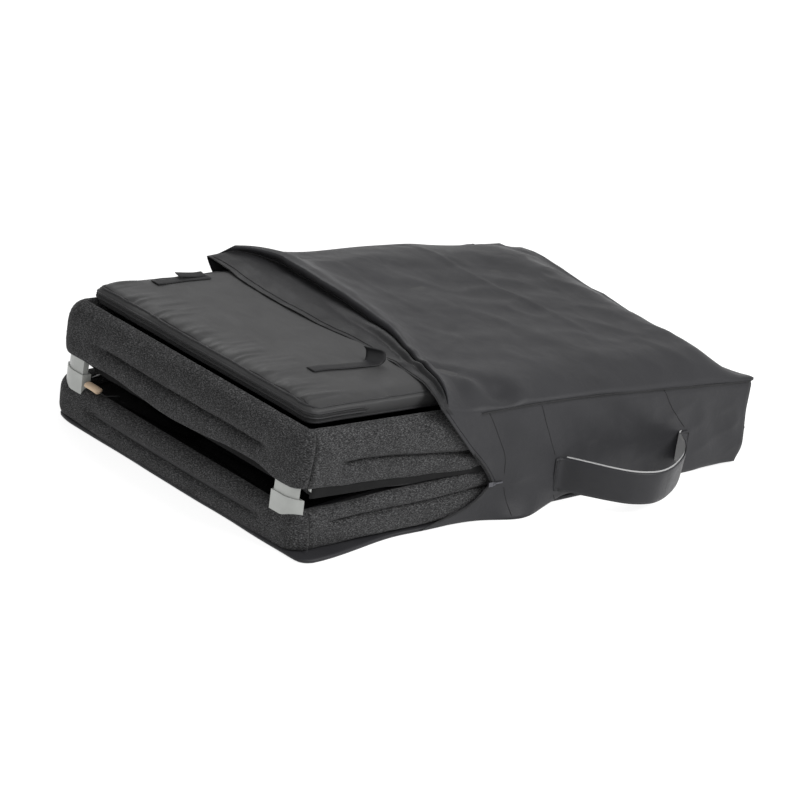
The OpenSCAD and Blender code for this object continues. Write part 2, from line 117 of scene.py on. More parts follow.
def noise(x, y, seed, size):
    """Smooth noise from -1 to 1, its bumps about size across."""
    table = np.random.default_rng(seed).uniform(-1, 1, (128, 128))
    u, v = np.asarray(x, float) / size, np.asarray(y, float) / size
    u, v = np.broadcast_arrays(u, v)
    i, j = np.floor(u).astype(int), np.floor(v).astype(int)
    a, b = u - i, v - j
    a, b = a * a * a * (a * (6 * a - 15) + 10), b * b * b * (b * (6 * b - 15) + 10)
    i, j, k, m = i % 128, j % 128, (i + 1) % 128, (j + 1) % 128
    return (table[i, j] * (1 - a) + table[k, j] * a) * (1 - b) + (table[i, m] * (1 - a) + table[k, m] * a) * b


def spline(points, n):
    """n points along a smooth line through the given ones."""
    p = np.asarray(points, float)
    d = np.concatenate([[0], np.cumsum(np.linalg.norm(np.diff(p, axis=0), axis=1))])
    t = np.linspace(0, d[-1], n)
    ends = np.vstack([2 * p[0] - p[1], p, 2 * p[-1] - p[-2]])
    i = np.clip(np.searchsorted(d, t, side="right") - 1, 0, len(p) - 2)
    u = ((t - d[i]) / (d[i + 1] - d[i]))[:, None]
    a, b, c, e = ends[i], ends[i + 1], ends[i + 2], ends[i + 3]
    return 0.5 * (2 * b + (c - a) * u + (2 * a - 5 * b + 4 * c - e) * u**2 + (3 * b - a - 3 * c + e) * u**3)


# ---------------- meshes
def mesh_object(name, points, faces, material):
    mesh = bpy.data.meshes.new(name)
    mesh.from_pydata(np.asarray(points, float).reshape(-1, 3).tolist(), [], faces)
    mesh.polygons.foreach_set("use_smooth", [True] * len(mesh.polygons))
    mesh.update()
    o = bpy.data.objects.new(name, mesh)
    scene.collection.objects.link(o)
    if material:
        mesh.materials.append(material)
    return o


def grid_faces(m, n, wrap_m=False, wrap_n=False, start=0, flip=False):
    i = np.arange(m if wrap_m else m - 1)[:, None]
    j = np.arange(n if wrap_n else n - 1)[None, :]
    a, b = i * n + j, ((i + 1) % m) * n + j
    c, d = ((i + 1) % m) * n + (j + 1) % n, i * n + (j + 1) % n
    quads = np.stack(np.broadcast_arrays(a, b, c, d), -1).reshape(-1, 4) + start
    return (quads[:, ::-1] if flip else quads).tolist()


def tube(name, path, radius, material, closed=False, sides=8, flat=1.0):
    """A round line along a path; its ends are drawn in."""
    p = np.asarray(path, float)
    n = len(p)
    t = (np.roll(p, -1, 0) - np.roll(p, 1, 0)) if closed else np.gradient(p, axis=0)
    t /= np.linalg.norm(t, axis=1)[:, None] + 1e-12
    up = np.where(np.abs(t[:, 2:3]) > 0.9, [[1.0, 0, 0]], [[0, 0, 1.0]])
    side = np.cross(t, up)
    side /= np.linalg.norm(side, axis=1)[:, None]
    up = np.cross(side, t)
    r = np.full(n, radius)
    if not closed:
        r[0] = r[-1] = radius * 0.3
    a = np.linspace(0, 2 * np.pi, sides, endpoint=False)
    ring = side[:, None] * np.cos(a)[None, :, None] + flat * up[:, None] * np.sin(a)[None, :, None]
    pts = p[:, None] + ring * r[:, None, None]
    faces = grid_faces(n, sides, closed, True)
    if not closed:
        faces += [list(range(sides)), [(n - 1) * sides + k for k in range(sides)][::-1]]
    return mesh_object(name, pts, faces, material)


def ribbon(name, path, across, width, thick, material, half=9):
    """A flat strap along a path; across is its width direction at each point, its edges are rounded."""
    p, w = np.asarray(path, float), np.asarray(across, float)
    w = w / np.linalg.norm(w, axis=1)[:, None]
    t = np.gradient(p, axis=0)
    t /= np.linalg.norm(t, axis=1)[:, None]
    nrm = np.cross(t, w)
    nrm /= np.linalg.norm(nrm, axis=1)[:, None]
    width = np.broadcast_to(width, len(p))
    v = np.linspace(-1, 1, half)
    edge = np.sqrt(np.clip(1 - (np.abs(v)) ** 10, 0, 1)) * 0.5 * thick
    hem = 0.00035 * bell(np.abs(v), 0.82, 0.07)
    face = list(zip(v, edge - hem))
    rows = face + [(a, -e) for a, e in face[::-1]][1:-1]
    pts = np.stack([p + w * (a * width / 2)[:, None] + nrm * b for a, b in rows], 1)
    k = len(rows)
    faces = grid_faces(len(p), k, False, True)
    faces += [list(range(k)), [(len(p) - 1) * k + q for q in range(k)][::-1]]
    return mesh_object(name, pts, faces, material)


def tree_of(o):
    mesh = o.data
    co = np.array([v.co for v in mesh.vertices])
    return BVHTree.FromPolygons([Vector(c) for c in co], [list(q.vertices) for q in mesh.polygons])


def laid_on(tree, starts, direction, lift):
    """Each start dropped along direction onto the surface, then lifted off it."""
    out = []
    for s in starts:
        d = Vector(direction(s) if callable(direction) else direction).normalized()
        hit, normal, _, _ = tree.ray_cast(Vector(s), d)
        if hit is not None:
            if normal.dot(d) > 0:
                normal = -normal
            out.append(list(hit + normal * lift))
    return np.array(out)


def carried(o, body):
    """Makes a piece go with its body."""
    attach(o, body)


# ---------------- materials
def material(name, colour, rough, sheen=0.0, metal=0.0, coat=0.0, spec=0.5):
    m = bpy.data.materials.new(name)
    m.use_nodes = True
    b = m.node_tree.nodes["Principled BSDF"]
    b.inputs["Base Color"].default_value = (*colour, 1)
    b.inputs["Roughness"].default_value = rough
    b.inputs["Metallic"].default_value = metal
    b.inputs["Specular IOR Level"].default_value = spec
    b.inputs["Sheen Weight"].default_value = sheen
    b.inputs["Sheen Roughness"].default_value = 0.5
    b.inputs["Coat Weight"].default_value = coat
    return m, m.node_tree.nodes, m.node_tree.links, b


def node(nodes, kind, **values):
    n = nodes.new(kind)
    for k, v in values.items():
        if k in n.inputs:
            n.inputs[k].default_value = v
        else:
            setattr(n, k, v)
    return n


def object_coords(nodes, links, scale=(1, 1, 1), turn=(0, 0, 0)):
    co = node(nodes, "ShaderNodeTexCoord")
    mp = node(nodes, "ShaderNodeMapping")
    mp.inputs["Scale"].default_value = scale
    mp.inputs["Rotation"].default_value = turn
    links.new(co.outputs["Object"], mp.inputs["Vector"])
    return mp.outputs["Vector"]


def ramp(nodes, links, value, stops):
    r = node(nodes, "ShaderNodeValToRGB")
    while len(r.color_ramp.elements) < len(stops):
        r.color_ramp.elements.new(0.5)
    for e, (pos, c) in zip(r.color_ramp.elements, stops):
        e.position = pos
        e.color = (c, c, c, 1) if not hasattr(c, "__len__") else (*c, 1)
    links.new(value, r.inputs["Fac"])
    return r.outputs["Color"]


def texture(nodes, links, vector, kind, **values):
    t = node(nodes, f"ShaderNodeTex{kind}", **values)
    links.new(vector, t.inputs["Vector"])
    return t


def scaled(colour, k):
    return tuple(c * k for c in colour)


def chained_bumps(nodes, links, shader, layers):
    """layers: (height socket, distance in metres, strength), the broadest first."""
    last = None
    for height, distance, strength in layers:
        b = node(nodes, "ShaderNodeBump", Distance=distance, Strength=strength)
        links.new(height, b.inputs["Height"])
        if last is not None:
            links.new(last, b.inputs["Normal"])
        last = b.outputs["Normal"]
    links.new(last, shader.inputs["Normal"])


def melange(name, dark, light):
    """Heathered knit: short light and dark fibres over a fine weave."""
    m, n, l, b = material(name, dark, 0.93, sheen=0.04, spec=0.12)
    v = object_coords(n, l)
    stretched = object_coords(n, l, (0.55, 0.55, 1.5), (0.3, 0.2, 0.5))
    fibre = texture(n, l, stretched, "Noise", Scale=540.0, Detail=3.0, Roughness=0.75)
    patch = texture(n, l, v, "Noise", Scale=24.0, Detail=3.0)
    between = tuple(0.7 * a + 0.3 * c for a, c in zip(dark, light))
    tint = ramp(n, l, fibre.outputs["Fac"], [(0.40, dark), (0.54, between), (0.68, light)])
    worn = ramp(n, l, patch.outputs["Fac"], [(0.3, 0.86), (0.7, 1.1)])
    mix = node(n, "ShaderNodeMix", data_type="RGBA", blend_type="MULTIPLY")
    mix.inputs[0].default_value = 1.0
    l.new(tint, mix.inputs[6])
    l.new(worn, mix.inputs[7])
    l.new(mix.outputs[2], b.inputs["Base Color"])
    weave = texture(n, l, v, "Voronoi", Scale=700.0)
    chained_bumps(n, l, b, [(patch.outputs["Fac"], 0.003, 0.25), (weave.outputs["Distance"], 0.0006, 0.55),
                            (fibre.outputs["Fac"], 0.0007, 0.6)])
    return m


def nylon(name, colour, rough, crumple=0.6, weave_scale=900.0, variation=0.12):
    """Tightly woven cloth with a satin face, small creases and slight wear."""
    m, n, l, b = material(name, colour, rough, sheen=0.02, spec=0.17)
    v = object_coords(n, l)
    broad = texture(n, l, v, "Noise", Scale=7.0, Detail=4.0, Roughness=0.55)
    slanted = object_coords(n, l, (1.0, 0.55, 1.0), (0, 0, 0.5))
    crease = texture(n, l, slanted, "Noise", Scale=26.0, Detail=5.0, Roughness=0.6, Distortion=0.8)
    weave = texture(n, l, v, "Voronoi", Scale=weave_scale)
    low, high = scaled(colour, 1 - variation), scaled(colour, 1 + variation)
    tint = ramp(n, l, broad.outputs["Fac"], [(0.3, low), (0.7, high)])
    l.new(tint, b.inputs["Base Color"])
    worn = ramp(n, l, crease.outputs["Fac"], [(0.3, rough - 0.06), (0.75, rough + 0.08)])
    l.new(worn, b.inputs["Roughness"])
    chained_bumps(n, l, b, [(broad.outputs["Fac"], 0.006, 0.35 * crumple),
                            (crease.outputs["Fac"], 0.003, 0.5 * crumple),
                            (weave.outputs["Distance"], 0.0003, 0.35)])
    return m


def plain(name, colour, rough, metal=0.0, grain=0.25, scale=160.0, coat=0.0):
    """Moulded plastic, rubber or metal with fine grain and faint smudges."""
    m, n, l, b = material(name, colour, rough, metal=metal, coat=coat)
    v = object_coords(n, l)
    fine = texture(n, l, v, "Noise", Scale=scale * 4, Detail=3.0)
    smudge = texture(n, l, v, "Noise", Scale=scale * 0.2, Detail=4.0)
    tint = ramp(n, l, smudge.outputs["Fac"], [(0.3, scaled(colour, 0.86)), (0.75, scaled(colour, 1.08))])
    l.new(tint, b.inputs["Base Color"])
    worn = ramp(n, l, smudge.outputs["Fac"], [(0.3, max(0.05, rough - 0.08)), (0.7, rough + 0.08)])
    l.new(worn, b.inputs["Roughness"])
    chained_bumps(n, l, b, [(fine.outputs["Fac"], 0.0003, grain)])
    return m


def netting(name, colour):
    """Fine dark net: small holes between threads."""
    m, n, l, b = material(name, colour, 0.85, spec=0.08)
    v = object_coords(n, l)
    cell = texture(n, l, v, "Voronoi", Scale=420.0)
    broad = texture(n, l, v, "Noise", Scale=14.0, Detail=3.0)
    tint = ramp(n, l, broad.outputs["Fac"], [(0.3, scaled(colour, 0.8)), (0.7, scaled(colour, 1.25))])
    l.new(tint, b.inputs["Base Color"])
    l.new(ramp(n, l, cell.outputs["Distance"], [(0.18, 0.45), (0.40, 1.0)]), b.inputs["Alpha"])
    chained_bumps(n, l, b, [(broad.outputs["Fac"], 0.004, 0.4), (cell.outputs["Distance"], 0.0006, 0.7)])
    return m


KNIT = melange("melange_knit", (0.009, 0.009, 0.0093), (0.105, 0.105, 0.107))
BAG = nylon("bag_nylon", (0.0235, 0.0235, 0.0255), 0.46, crumple=0.55)
# A darker copy of the bag cloth: painted shade for the flap that lies under the mouth's rolled edge.
FLAP_SHADE = nylon("bag_flap_painted_shade", (0.0135, 0.0135, 0.0145), 0.5, crumple=0.5)
TOP_CLOTH = nylon("mattress_cloth", (0.037, 0.037, 0.0375), 0.5, crumple=0.35, variation=0.06)
PIPING = nylon("piping_cloth", (0.026, 0.026, 0.027), 0.5, crumple=0.3)
BASE_CLOTH = nylon("base_cloth", (0.018, 0.018, 0.020), 0.5, crumple=0.3)
# Strap webbing; the same dark cloth also serves as painted shade on the pad's lower piping.
WEBBING_AND_SHADE = nylon("webbing", (0.015, 0.015, 0.016), 0.62, crumple=0.3, weave_scale=500.0)
THREAD = plain("thread", (0.005, 0.005, 0.0055), 0.8, grain=0.5, scale=500.0)
LIGHT_TAPE = nylon("light_tape", (0.36, 0.36, 0.36), 0.7, crumple=0.2, weave_scale=600.0)
# Near-black cloth for the sheet in the gap between the bands: painted shade.
GAP_SHADE_CLOTH = nylon("gap_painted_shade", (0.0035, 0.0035, 0.0037), 0.8, crumple=0.3)
NET = netting("net", (0.004, 0.004, 0.0042))
SHOE = plain("shoe_plastic", (0.34, 0.35, 0.335), 0.38, grain=0.3, coat=0.1)
# Tubes and pins are made near black so that they stay as dark as the shaded gap between the bands: painted
# shade.
STEEL = plain("dark_tube_gap_shade", (0.010, 0.010, 0.011), 0.5, metal=0.2, grain=0.2)
PIN = plain("pin_steel", (0.020, 0.020, 0.021), 0.4, metal=0.8, grain=0.2)
RUBBER = plain("foot_rubber", (0.015, 0.015, 0.015), 0.7, grain=0.5)
ZIP_METAL = plain("zip_metal", (0.10, 0.10, 0.11), 0.35, metal=0.9, grain=0.2)
SLEEVE = nylon("beige_sleeve", (0.50, 0.38, 0.27), 0.7, crumple=0.4)

for name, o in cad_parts.items():
    if name.startswith(("base_corner", "top_corner")):
        own = SHOE
    elif name.startswith(("base_rail", "top_rail", "lower_leg", "upper_leg")):
        own = STEEL
    elif "pin" in name:
        own = PIN
    elif name == "base_feet":
        own = RUBBER
    elif name.startswith("zip"):
        own = ZIP_METAL
    else:
        own = PIPING
    o.data.materials.clear()
    o.data.materials.append(own)


# ---------------- the padded bands
def ring_path(length, half_w, r, coarse, fine):
    """Arc samples round a rounded rectangle that starts at X0, dense near the corners' middles."""
    a, b, q = length - 2 * r, 2 * half_w - 2 * r, math.pi * r / 2
    marks = np.cumsum([a, q, b, q, a, q, b, q])
    total = marks[-1]
    corners = [marks[k] - q / 2 for k in (1, 3, 5, 7)]
    s = [0.0]
    while s[-1] < total:
        near = min(min(abs(s[-1] - c), total - abs(s[-1] - c)) for c in corners)
        s.append(s[-1] + (fine if near < 0.012 else min(coarse, fine + (near - 0.012) * 0.12)))
    s = np.array(s[:-1]) * (total / s[-1])
    return s, total, corners, marks


def ring_points(s, length, half_w, r, marks):
    """Position and outward normal at arc s, from the front side's left end, anticlockwise."""
    x, y, nx, ny = (np.zeros_like(s) for _ in range(4))
    starts = np.concatenate([[0], marks[:-1]])
    left, right = X0 + r, X0 + length - r
    centres = [(right, -half_w + r), (right, half_w - r), (left, half_w - r), (left, -half_w + r)]
    lines = [((X0 + r, -half_w), (1, 0), (0, -1)), ((X0 + length, -half_w + r), (0, 1), (1, 0)),
             ((X0 + length - r, half_w), (-1, 0), (0, 1)), ((X0, half_w - r), (0, -1), (-1, 0))]
    for k in range(4):
        on = (s >= starts[2 * k]) & (s < marks[2 * k])
        u = s[on] - starts[2 * k]
        (px, py), (dx, dy), (mx, my) = lines[k]
        x[on], y[on], nx[on], ny[on] = px + dx * u, py + dy * u, mx, my
        on = (s >= starts[2 * k + 1]) & (s <= marks[2 * k + 1])
        ang = (s[on] - starts[2 * k + 1]) / r + (k - 1) * math.pi / 2
        x[on], y[on] = centres[k][0] + r * np.cos(ang), centres[k][1] + r * np.sin(ang)
        nx[on], ny[on] = np.cos(ang), np.sin(ang)
    return x, y, nx, ny


def seam_shift(k, lean, h):
    """How far along the arc a corner's seam stands from its middle, towards the long side."""
    return (lean[0] + lean[1] * (h - 0.045)) * (1 if k % 2 else -1)


def band(length, folded, plain_side, seed, lean, amount, drape):
    """A padded band swept round the frame. folded and plain_side are outlines of (depth in, height),
    with the crease and without it, which take over from each other near the corners."""
    s, total, corners, marks = ring_path(length, HALF_W, BAND_R, 0.006, 0.0011)
    f, p = spline(folded, 60), spline(plain_side, 60)
    h = f[:, 1]
    gap = np.full(len(s), 9.0)
    for c in corners:
        gap = np.minimum(gap, np.minimum(np.abs(s - c), total - np.abs(s - c)))
    x, y, nx, ny = ring_points(s, length, HALF_W, BAND_R, marks)
    crease = ease(0.0, 0.055, gap - 0.040 - 0.032 * (1 - ny**2) + 0.010 * noise(s, 0.0, seed, 0.16))
    prof = p[None] + (f - p)[None] * crease[:, None, None]
    on_side = np.abs(ny) ** 2
    scale_t = (END_T + (SIDE_T - END_T) * on_side)[:, None] / SIDE_T
    d = prof[..., 0]
    inner = ease(0.4, 0.95, d / SIDE_T)
    depth = d * (1 + (scale_t - 1) * inner)
    hh = prof[..., 1]
    outer = 1 - ease(0.010, 0.028, d)
    swell = noise(s[:, None], h[None], seed + 1, 0.075) * 0.6
    swell = swell + noise(s[:, None], h[None], seed + 2, 0.03) * 0.25
    depth = depth - amount * (swell + 0.2) * outer
    hh = hh + drape(x[:, None], y[:, None], ny[:, None], d, hh)
    ripple = noise(s, 3.0, seed + 3, 0.13) * 0.0025 + noise(s, 7.0, seed + 4, 0.05) * 0.0008
    hh = hh + ripple[:, None] * crease[:, None] * outer
    depth = depth + 0.0035 * (ease(-0.165, -0.115, x) * on_side)[:, None] * outer
    for k, c in enumerate(corners):
        off = s[:, None] - c - seam_shift(k, lean, hh)
        off = (off + total / 2) % total - total / 2
        groove, lips = bell(off, 0.0, 0.0016), bell(np.abs(off), 0.0055, 0.0035)
        depth = depth + (0.0030 * groove - 0.0012 * lips) * outer
        pucker = np.sin(hh * 900 + 3 * noise(hh, off, seed + 6, 0.01)) * np.exp(-((off / 0.010) ** 2))
        depth = depth + 0.0005 * pucker * outer
    pts = np.stack([x[:, None] - nx[:, None] * depth, y[:, None] - ny[:, None] * depth, hh], -1)
    return s, corners, marks, pts


# outlines of the bands, in mm: (depth in from the outside, height)
upper_folded = np.array([
    (38, 6), (28, 1), (14, 0), (4, 3), (0.5, 12), (1.0, 23), (6, 31), (15, 35.5), (10, 38), (3, 43),
    (0, 54), (0.5, 66), (4, 78), (11, 87), (21, 93), (30, 94.5), (37, 87), (40, 70), (40, 40),
    (40, 20), (38, 6),
]) * MM
upper_plain = np.array([
    (38, 6), (28, 1), (14, 0), (5, 2.5), (1.5, 10), (0.6, 20), (0.3, 28), (0.2, 33), (0.2, 38),
    (0.1, 44), (0, 54), (1.5, 66), (6, 78), (13, 87), (22, 93), (30, 94.5), (37, 87), (40, 70),
    (40, 40), (40, 20), (38, 6),
]) * MM
lower_folded = np.array([
    (39, 16), (28, 9), (14, 8), (4, 10.5), (0.5, 19), (0.5, 33), (3, 42), (9, 46.5), (13, 48.5),
    (8, 51), (2.5, 55), (1.5, 61), (4, 67), (11, 71.5), (20, 72.5), (30, 70), (38, 65), (40, 55),
    (40, 40), (40, 28), (39, 16),
]) * MM
lower_plain = np.array([
    (39, 16), (28, 9), (14, 8), (5, 10.5), (1.2, 19), (0.5, 29), (0.3, 38), (0.3, 44), (0.3, 49),
    (0.3, 54), (1, 59), (3, 64), (7, 68.5), (13, 71.5), (21, 72), (30, 70), (38, 65), (40, 55),
    (40, 40), (40, 28), (39, 16),
]) * MM


def upper_drape(x, y, ny, d, h):
    """How the upper band's cloth hangs: lower towards the bag, uneven along the left end."""
    sides, left = np.abs(ny) ** 2, (1 - np.abs(ny) ** 2) * (x < 0)
    hem = (1 - ease(0.012, 0.022, d)) * (1 - ease(0.0, 0.026, h))
    crease = bell(h, 0.037, 0.020)
    hang = sides * curve([-0.47, -0.36, -0.267, -0.18, -0.098, 0.44],
                         [0, 0.0045, 0.0085, 0.011, 0.0145, 0.010], x)
    hang = hang + left * curve([-0.33, -0.268, -0.202, -0.063, 0.016, 0.099, 0.196, 0.33],
                               [0.003, 0.006, -0.004, 0.004, 0.008, 0.003, 0.0, 0.002], y)
    sink = curve([-0.37, -0.296, -0.209, -0.121, 0.44], [0, 0.004, 0.012, 0.016, 0.012], x) * sides
    return -hem * hang - crease * sink


def lower_drape(x, y, ny, d, h):
    """How the lower band's cloth stands up towards the bag and sinks to the floor at the left end."""
    sides, left = np.abs(ny) ** 2, (1 - np.abs(ny) ** 2) * (x < 0)
    lip = (1 - ease(0.013, 0.024, d)) * ease(0.050, 0.068, h)
    lift = sides * curve([-0.45, -0.386, -0.353, -0.303, -0.218, -0.095, 0.44],
                         [0, 0.0025, 0.006, 0.0085, 0.0095, 0.0115, 0.006], x)
    sink = curve([-0.33, -0.28, 0.0, 0.28, 0.33], [0.0, 0.010, 0.013, 0.009, 0.0], y) * left
    foot = left * curve([-0.33, -0.26, 0.0, 0.22, 0.33], [0.001, 0.0055, 0.006, 0.004, 0.0], y)
    foot = foot * (1 - ease(0.008, 0.035, h))
    return lip * lift - bell(h, 0.047, 0.020) * sink - foot


def make_band(name, length, folded, plain_side, seed, lean, tilted, body, replaced, seam_heights, amount,
              drape):
    """A padded band and the seams at its corners."""
    s, corners, marks, pts = band(length, folded, plain_side, seed, lean, amount, drape)
    place = tilt if tilted else (lambda q: q)
    if not tilted:
        pts[..., 2] = np.maximum(pts[..., 2], 0.0008)
    o = mesh_object(name, place(pts), grid_faces(len(s), pts.shape[1], True, True), KNIT)
    tree = tree_of(o)
    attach(o, body)
    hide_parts(*replaced)
    for k, tag in enumerate(("fr", "br", "bl", "fl")):
        hs = np.linspace(*seam_heights, 60)
        x, y, nx, ny = ring_points(corners[k] + seam_shift(k, lean, hs), length, HALF_W, BAND_R, marks)
        line = []
        for at in range(60):
            start = place(np.array([[x[at] + nx[at] * 0.05, y[at] + ny[at] * 0.05, hs[at]]]))
            line.extend(laid_on(tree, start, (-nx[at], -ny[at], 0), -0.0001))
        seam = tube(f"{name}_seam_{tag}", line, 0.0008, THREAD, sides=6)
        carried(seam, body)


SIDES = ("front", "back", "left", "right")
make_band("upper_band", TOP_L, upper_folded, upper_plain, 11, (0.012, 0.06), True, "top_rail",
          [f"upper_pad_{s}" for s in SIDES], (0.004, 0.091), 0.0022, upper_drape)
make_band("lower_band", X1 - X0, lower_folded, lower_plain, 31, (0.022, -0.14), False, "base",
          [f"lower_pad_{s}" for s in SIDES], (0.012, 0.068), 0.0018, lower_drape)


def hang_shade_sheet():
    """A near-black sheet along the upper band inside the gap, in front of the folded legs: painted shade that
    keeps the gap dark and hides the legs.
    """
    top, bottom = 0.012, -0.016
    s, _, corners, marks = ring_path(TOP_L, HALF_W, BAND_R, 0.012, 0.003)
    x, y, nx, ny = ring_points(s, TOP_L, HALF_W, BAND_R, marks)
    along = (np.abs(x - X0 - TOP_L / 2) < TOP_L / 2 - 0.022) & (np.abs(ny) > 0.5)
    clear = along | (np.abs(y) < 0.252)
    hs = np.linspace(top, bottom, 9)
    wave = 0.0012 * noise(s[:, None], hs[None], 91, 0.03)
    d = (0.0055 + wave) * (np.abs(ny) ** 2)[:, None] + (0.026 + wave) * (1 - np.abs(ny) ** 2)[:, None]
    level = np.broadcast_to(hs, d.shape)
    pts = tilt(np.stack([x[:, None] - nx[:, None] * d, y[:, None] - ny[:, None] * d, level], -1))
    first = int(np.argmin(np.abs(s - corners[3])))
    pts, clear = np.roll(pts, -first, 0), np.roll(clear, -first)
    runs = np.flatnonzero(np.diff(np.concatenate([[0], clear.astype(int), [0]])))
    for k, (a, b) in enumerate(zip(runs[::2], runs[1::2])):
        o = mesh_object(f"shade_sheet_{k + 1}", pts[a:b], grid_faces(b - a, len(hs)), GAP_SHADE_CLOTH)
        carried(o, "top_rail")


hang_shade_sheet()


# ---------------- the wrapped base board
def base_cover():
    s, total, corners, marks = ring_path(X1 - X0, HALF_W, BASE_R, 0.012, 0.004)
    x, y, nx, ny = ring_points(s, X1 - X0, HALF_W, BASE_R, marks)
    outline = np.array([(60, 9), (30, 8.6), (22, 3.5), (8, 1.2), (1.0, 1.2), (-0.8, 3.4), (0.4, 6.2),
                        (4, 7.4), (20, 8.2), (60, 12)]) * MM
    prof = spline(outline, 32)
    out = 1 - ease(0.004, 0.03, prof[:, 0])
    gap = np.abs((s[:, None] - np.array(corners[:3])[None] + total / 2) % total - total / 2).min(1)
    drawn_in = 0.0012 * noise(s, 0.0, 71, 0.09) + 0.011 * bell(gap, 0.0, 0.030)
    d = prof[None, :, 0] + drawn_in[:, None] * out[None]
    # the loose corner at the front left stands out past the band
    y = y - 0.024 * ease(-0.27, -0.47, x) * ease(-0.29, -0.32, y)
    level = np.broadcast_to(prof[:, 1], d.shape)
    pts = np.stack([x[:, None] - nx[:, None] * d, y[:, None] - ny[:, None] * d, level], -1)
    n, k = len(s), len(prof)
    faces = grid_faces(n, k, True, False)
    faces += [[i * k for i in range(n)], [i * k + k - 1 for i in range(n)][::-1]]
    o = mesh_object("base_cover", pts, faces, BASE_CLOTH)
    carried(o, "base")
    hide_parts("floor_board")


base_cover()


# ---------------- the mattress
PAD_R = 0.014


def mattress():
    r = PAD_R
    inset = 0.003
    x0, x1, w = MAT_X0 + inset, MAT_X1 - inset, (MAT_Y1 - MAT_Y0) / 2 - inset
    cx, cy = (x0 + x1) / 2, (MAT_Y0 + MAT_Y1) / 2
    xs, ys = np.linspace(x0, x1, 210), np.linspace(cy - w, cy + w, 154)
    gx, gy = np.meshgrid(xs, ys, indexing="ij")
    u = np.clip((np.abs(gx - cx) - ((x1 - x0) / 2 - r)) / r, 0, 1)
    v = np.clip((np.abs(gy - cy) - (w - r)) / r, 0, 1)
    px = gx - np.sign(gx - cx) * r * (u - u * np.sqrt(1 - v * v / 2))
    py = gy - np.sign(gy - cy) * r * (v - v * np.sqrt(1 - u * u / 2))
    edge = np.minimum(np.minimum(gx - x0, x1 - gx), w - np.abs(gy - cy))
    top = MAT_Z1 - 0.002 - 0.004 * (1 - ease(0, 0.014, edge)) - inset
    m, n = gx.shape
    upper_face = np.stack([px, py, top], -1)
    loop = [(i, 0) for i in range(m)] + [(m - 1, j) for j in range(1, n)]
    loop += [(i, n - 1) for i in range(m - 2, -1, -1)] + [(0, j) for j in range(n - 2, 0, -1)]
    li, lj = np.array(loop).T
    rim = upper_face[li, lj]
    out = rim[:, :2] - np.array([cx, cy])
    nrm = np.stack([np.sign(out[:, 0]) * u[li, lj], np.sign(out[:, 1]) * v[li, lj]], -1)
    nrm[li == 0, 0], nrm[li == m - 1, 0] = -1, 1
    nrm[lj == 0, 1], nrm[lj == n - 1, 1] = -1, 1
    nrm /= np.linalg.norm(nrm, axis=1)[:, None] + 1e-9
    rings = []
    for t in np.linspace(0, 1, 12)[1:-1]:
        z = MAT_Z1 - 0.006 - t * (MAT_Z1 - MAT_Z0 - 0.009)
        plan = rim[:, :2] + nrm * (0.0025 * math.sin(math.pi * t))
        rings.append(np.column_stack([plan, np.full(len(rim), z)]))
    lower_face = np.stack([px, py, np.full_like(px, MAT_Z0 + 0.002)], -1)
    pts = np.concatenate([upper_face.reshape(-1, 3), *rings, lower_face.reshape(-1, 3)])
    faces = grid_faces(m, n, flip=True)
    base, count = m * n, len(rim)
    first = li * n + lj
    last = base + len(rings) * count + first
    levels = [first] + [base + k * count + np.arange(count) for k in range(len(rings))] + [last]
    for a, b in zip(levels[:-1], levels[1:]):
        faces += np.stack([np.roll(a, -1), a, b, np.roll(b, -1)], -1)[:, ::-1].tolist()
    faces += grid_faces(m, n, start=base + len(rings) * count)
    o = mesh_object("mattress", pts, faces, TOP_CLOTH)
    inflate(o, voxel=0.006, pressure=4.0, cap=0.006)
    crease_pad(o)
    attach(o, "mattress")
    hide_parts("mattress_pad")
    return o


def crease_pad(o):
    """The pad's streaks and hollows, and the part that the bag presses down."""
    co = np.array([q.co for q in o.data.vertices])
    x, y, z = co.T
    up = ease(MAT_Z0 + 0.022, MAT_Z1 - 0.004, z)
    end = x - (X0 + MAT_END_IN)
    streak = 0.0
    for k, size in enumerate((0.016, 0.009)):
        streak = streak + np.clip(noise(x * 0.12 + y * 0.05, y, 41 + k, size), 0, 1) * (0.0034, 0.0015)[k]
    fade = (1 - ease(0.02, 0.115 + 0.04 * noise(0.0, y, 43, 0.05), end)) * ease(0.004, 0.020, end)
    z = z + up * (streak * fade * 1.3 + 0.0012 * noise(x, y, 44, 0.09) + 0.0005 * noise(x, y, 45, 0.03))
    side = np.minimum(y - MAT_Y0, MAT_Y1 - y)
    z = z + up * 0.0005 * noise(x, y * 0.15, 46, 0.02) * (1 - ease(0.01, 0.06, side))
    pressed = ease(-0.16, -0.04, x)
    sunk = 0.003 + 0.010 * (1 - ease(0.0, 0.06, side)) ** 1.5 + 0.008 * ease(0.24, 0.32, y)
    z = z - up * pressed * (sunk + 0.007 * ease(0.19, 0.30, y) * ease(0.0, 0.2, x))
    z = np.clip(z, MAT_Z0 + 0.0005 + 0.0085 * ease(0.280, 0.292, y), MAT_Z1 + 0.0035)
    co = tilt(np.stack([x, y, z], -1))
    o.data.vertices.foreach_set("co", co.astype(np.float32).ravel())
    o.data.update()


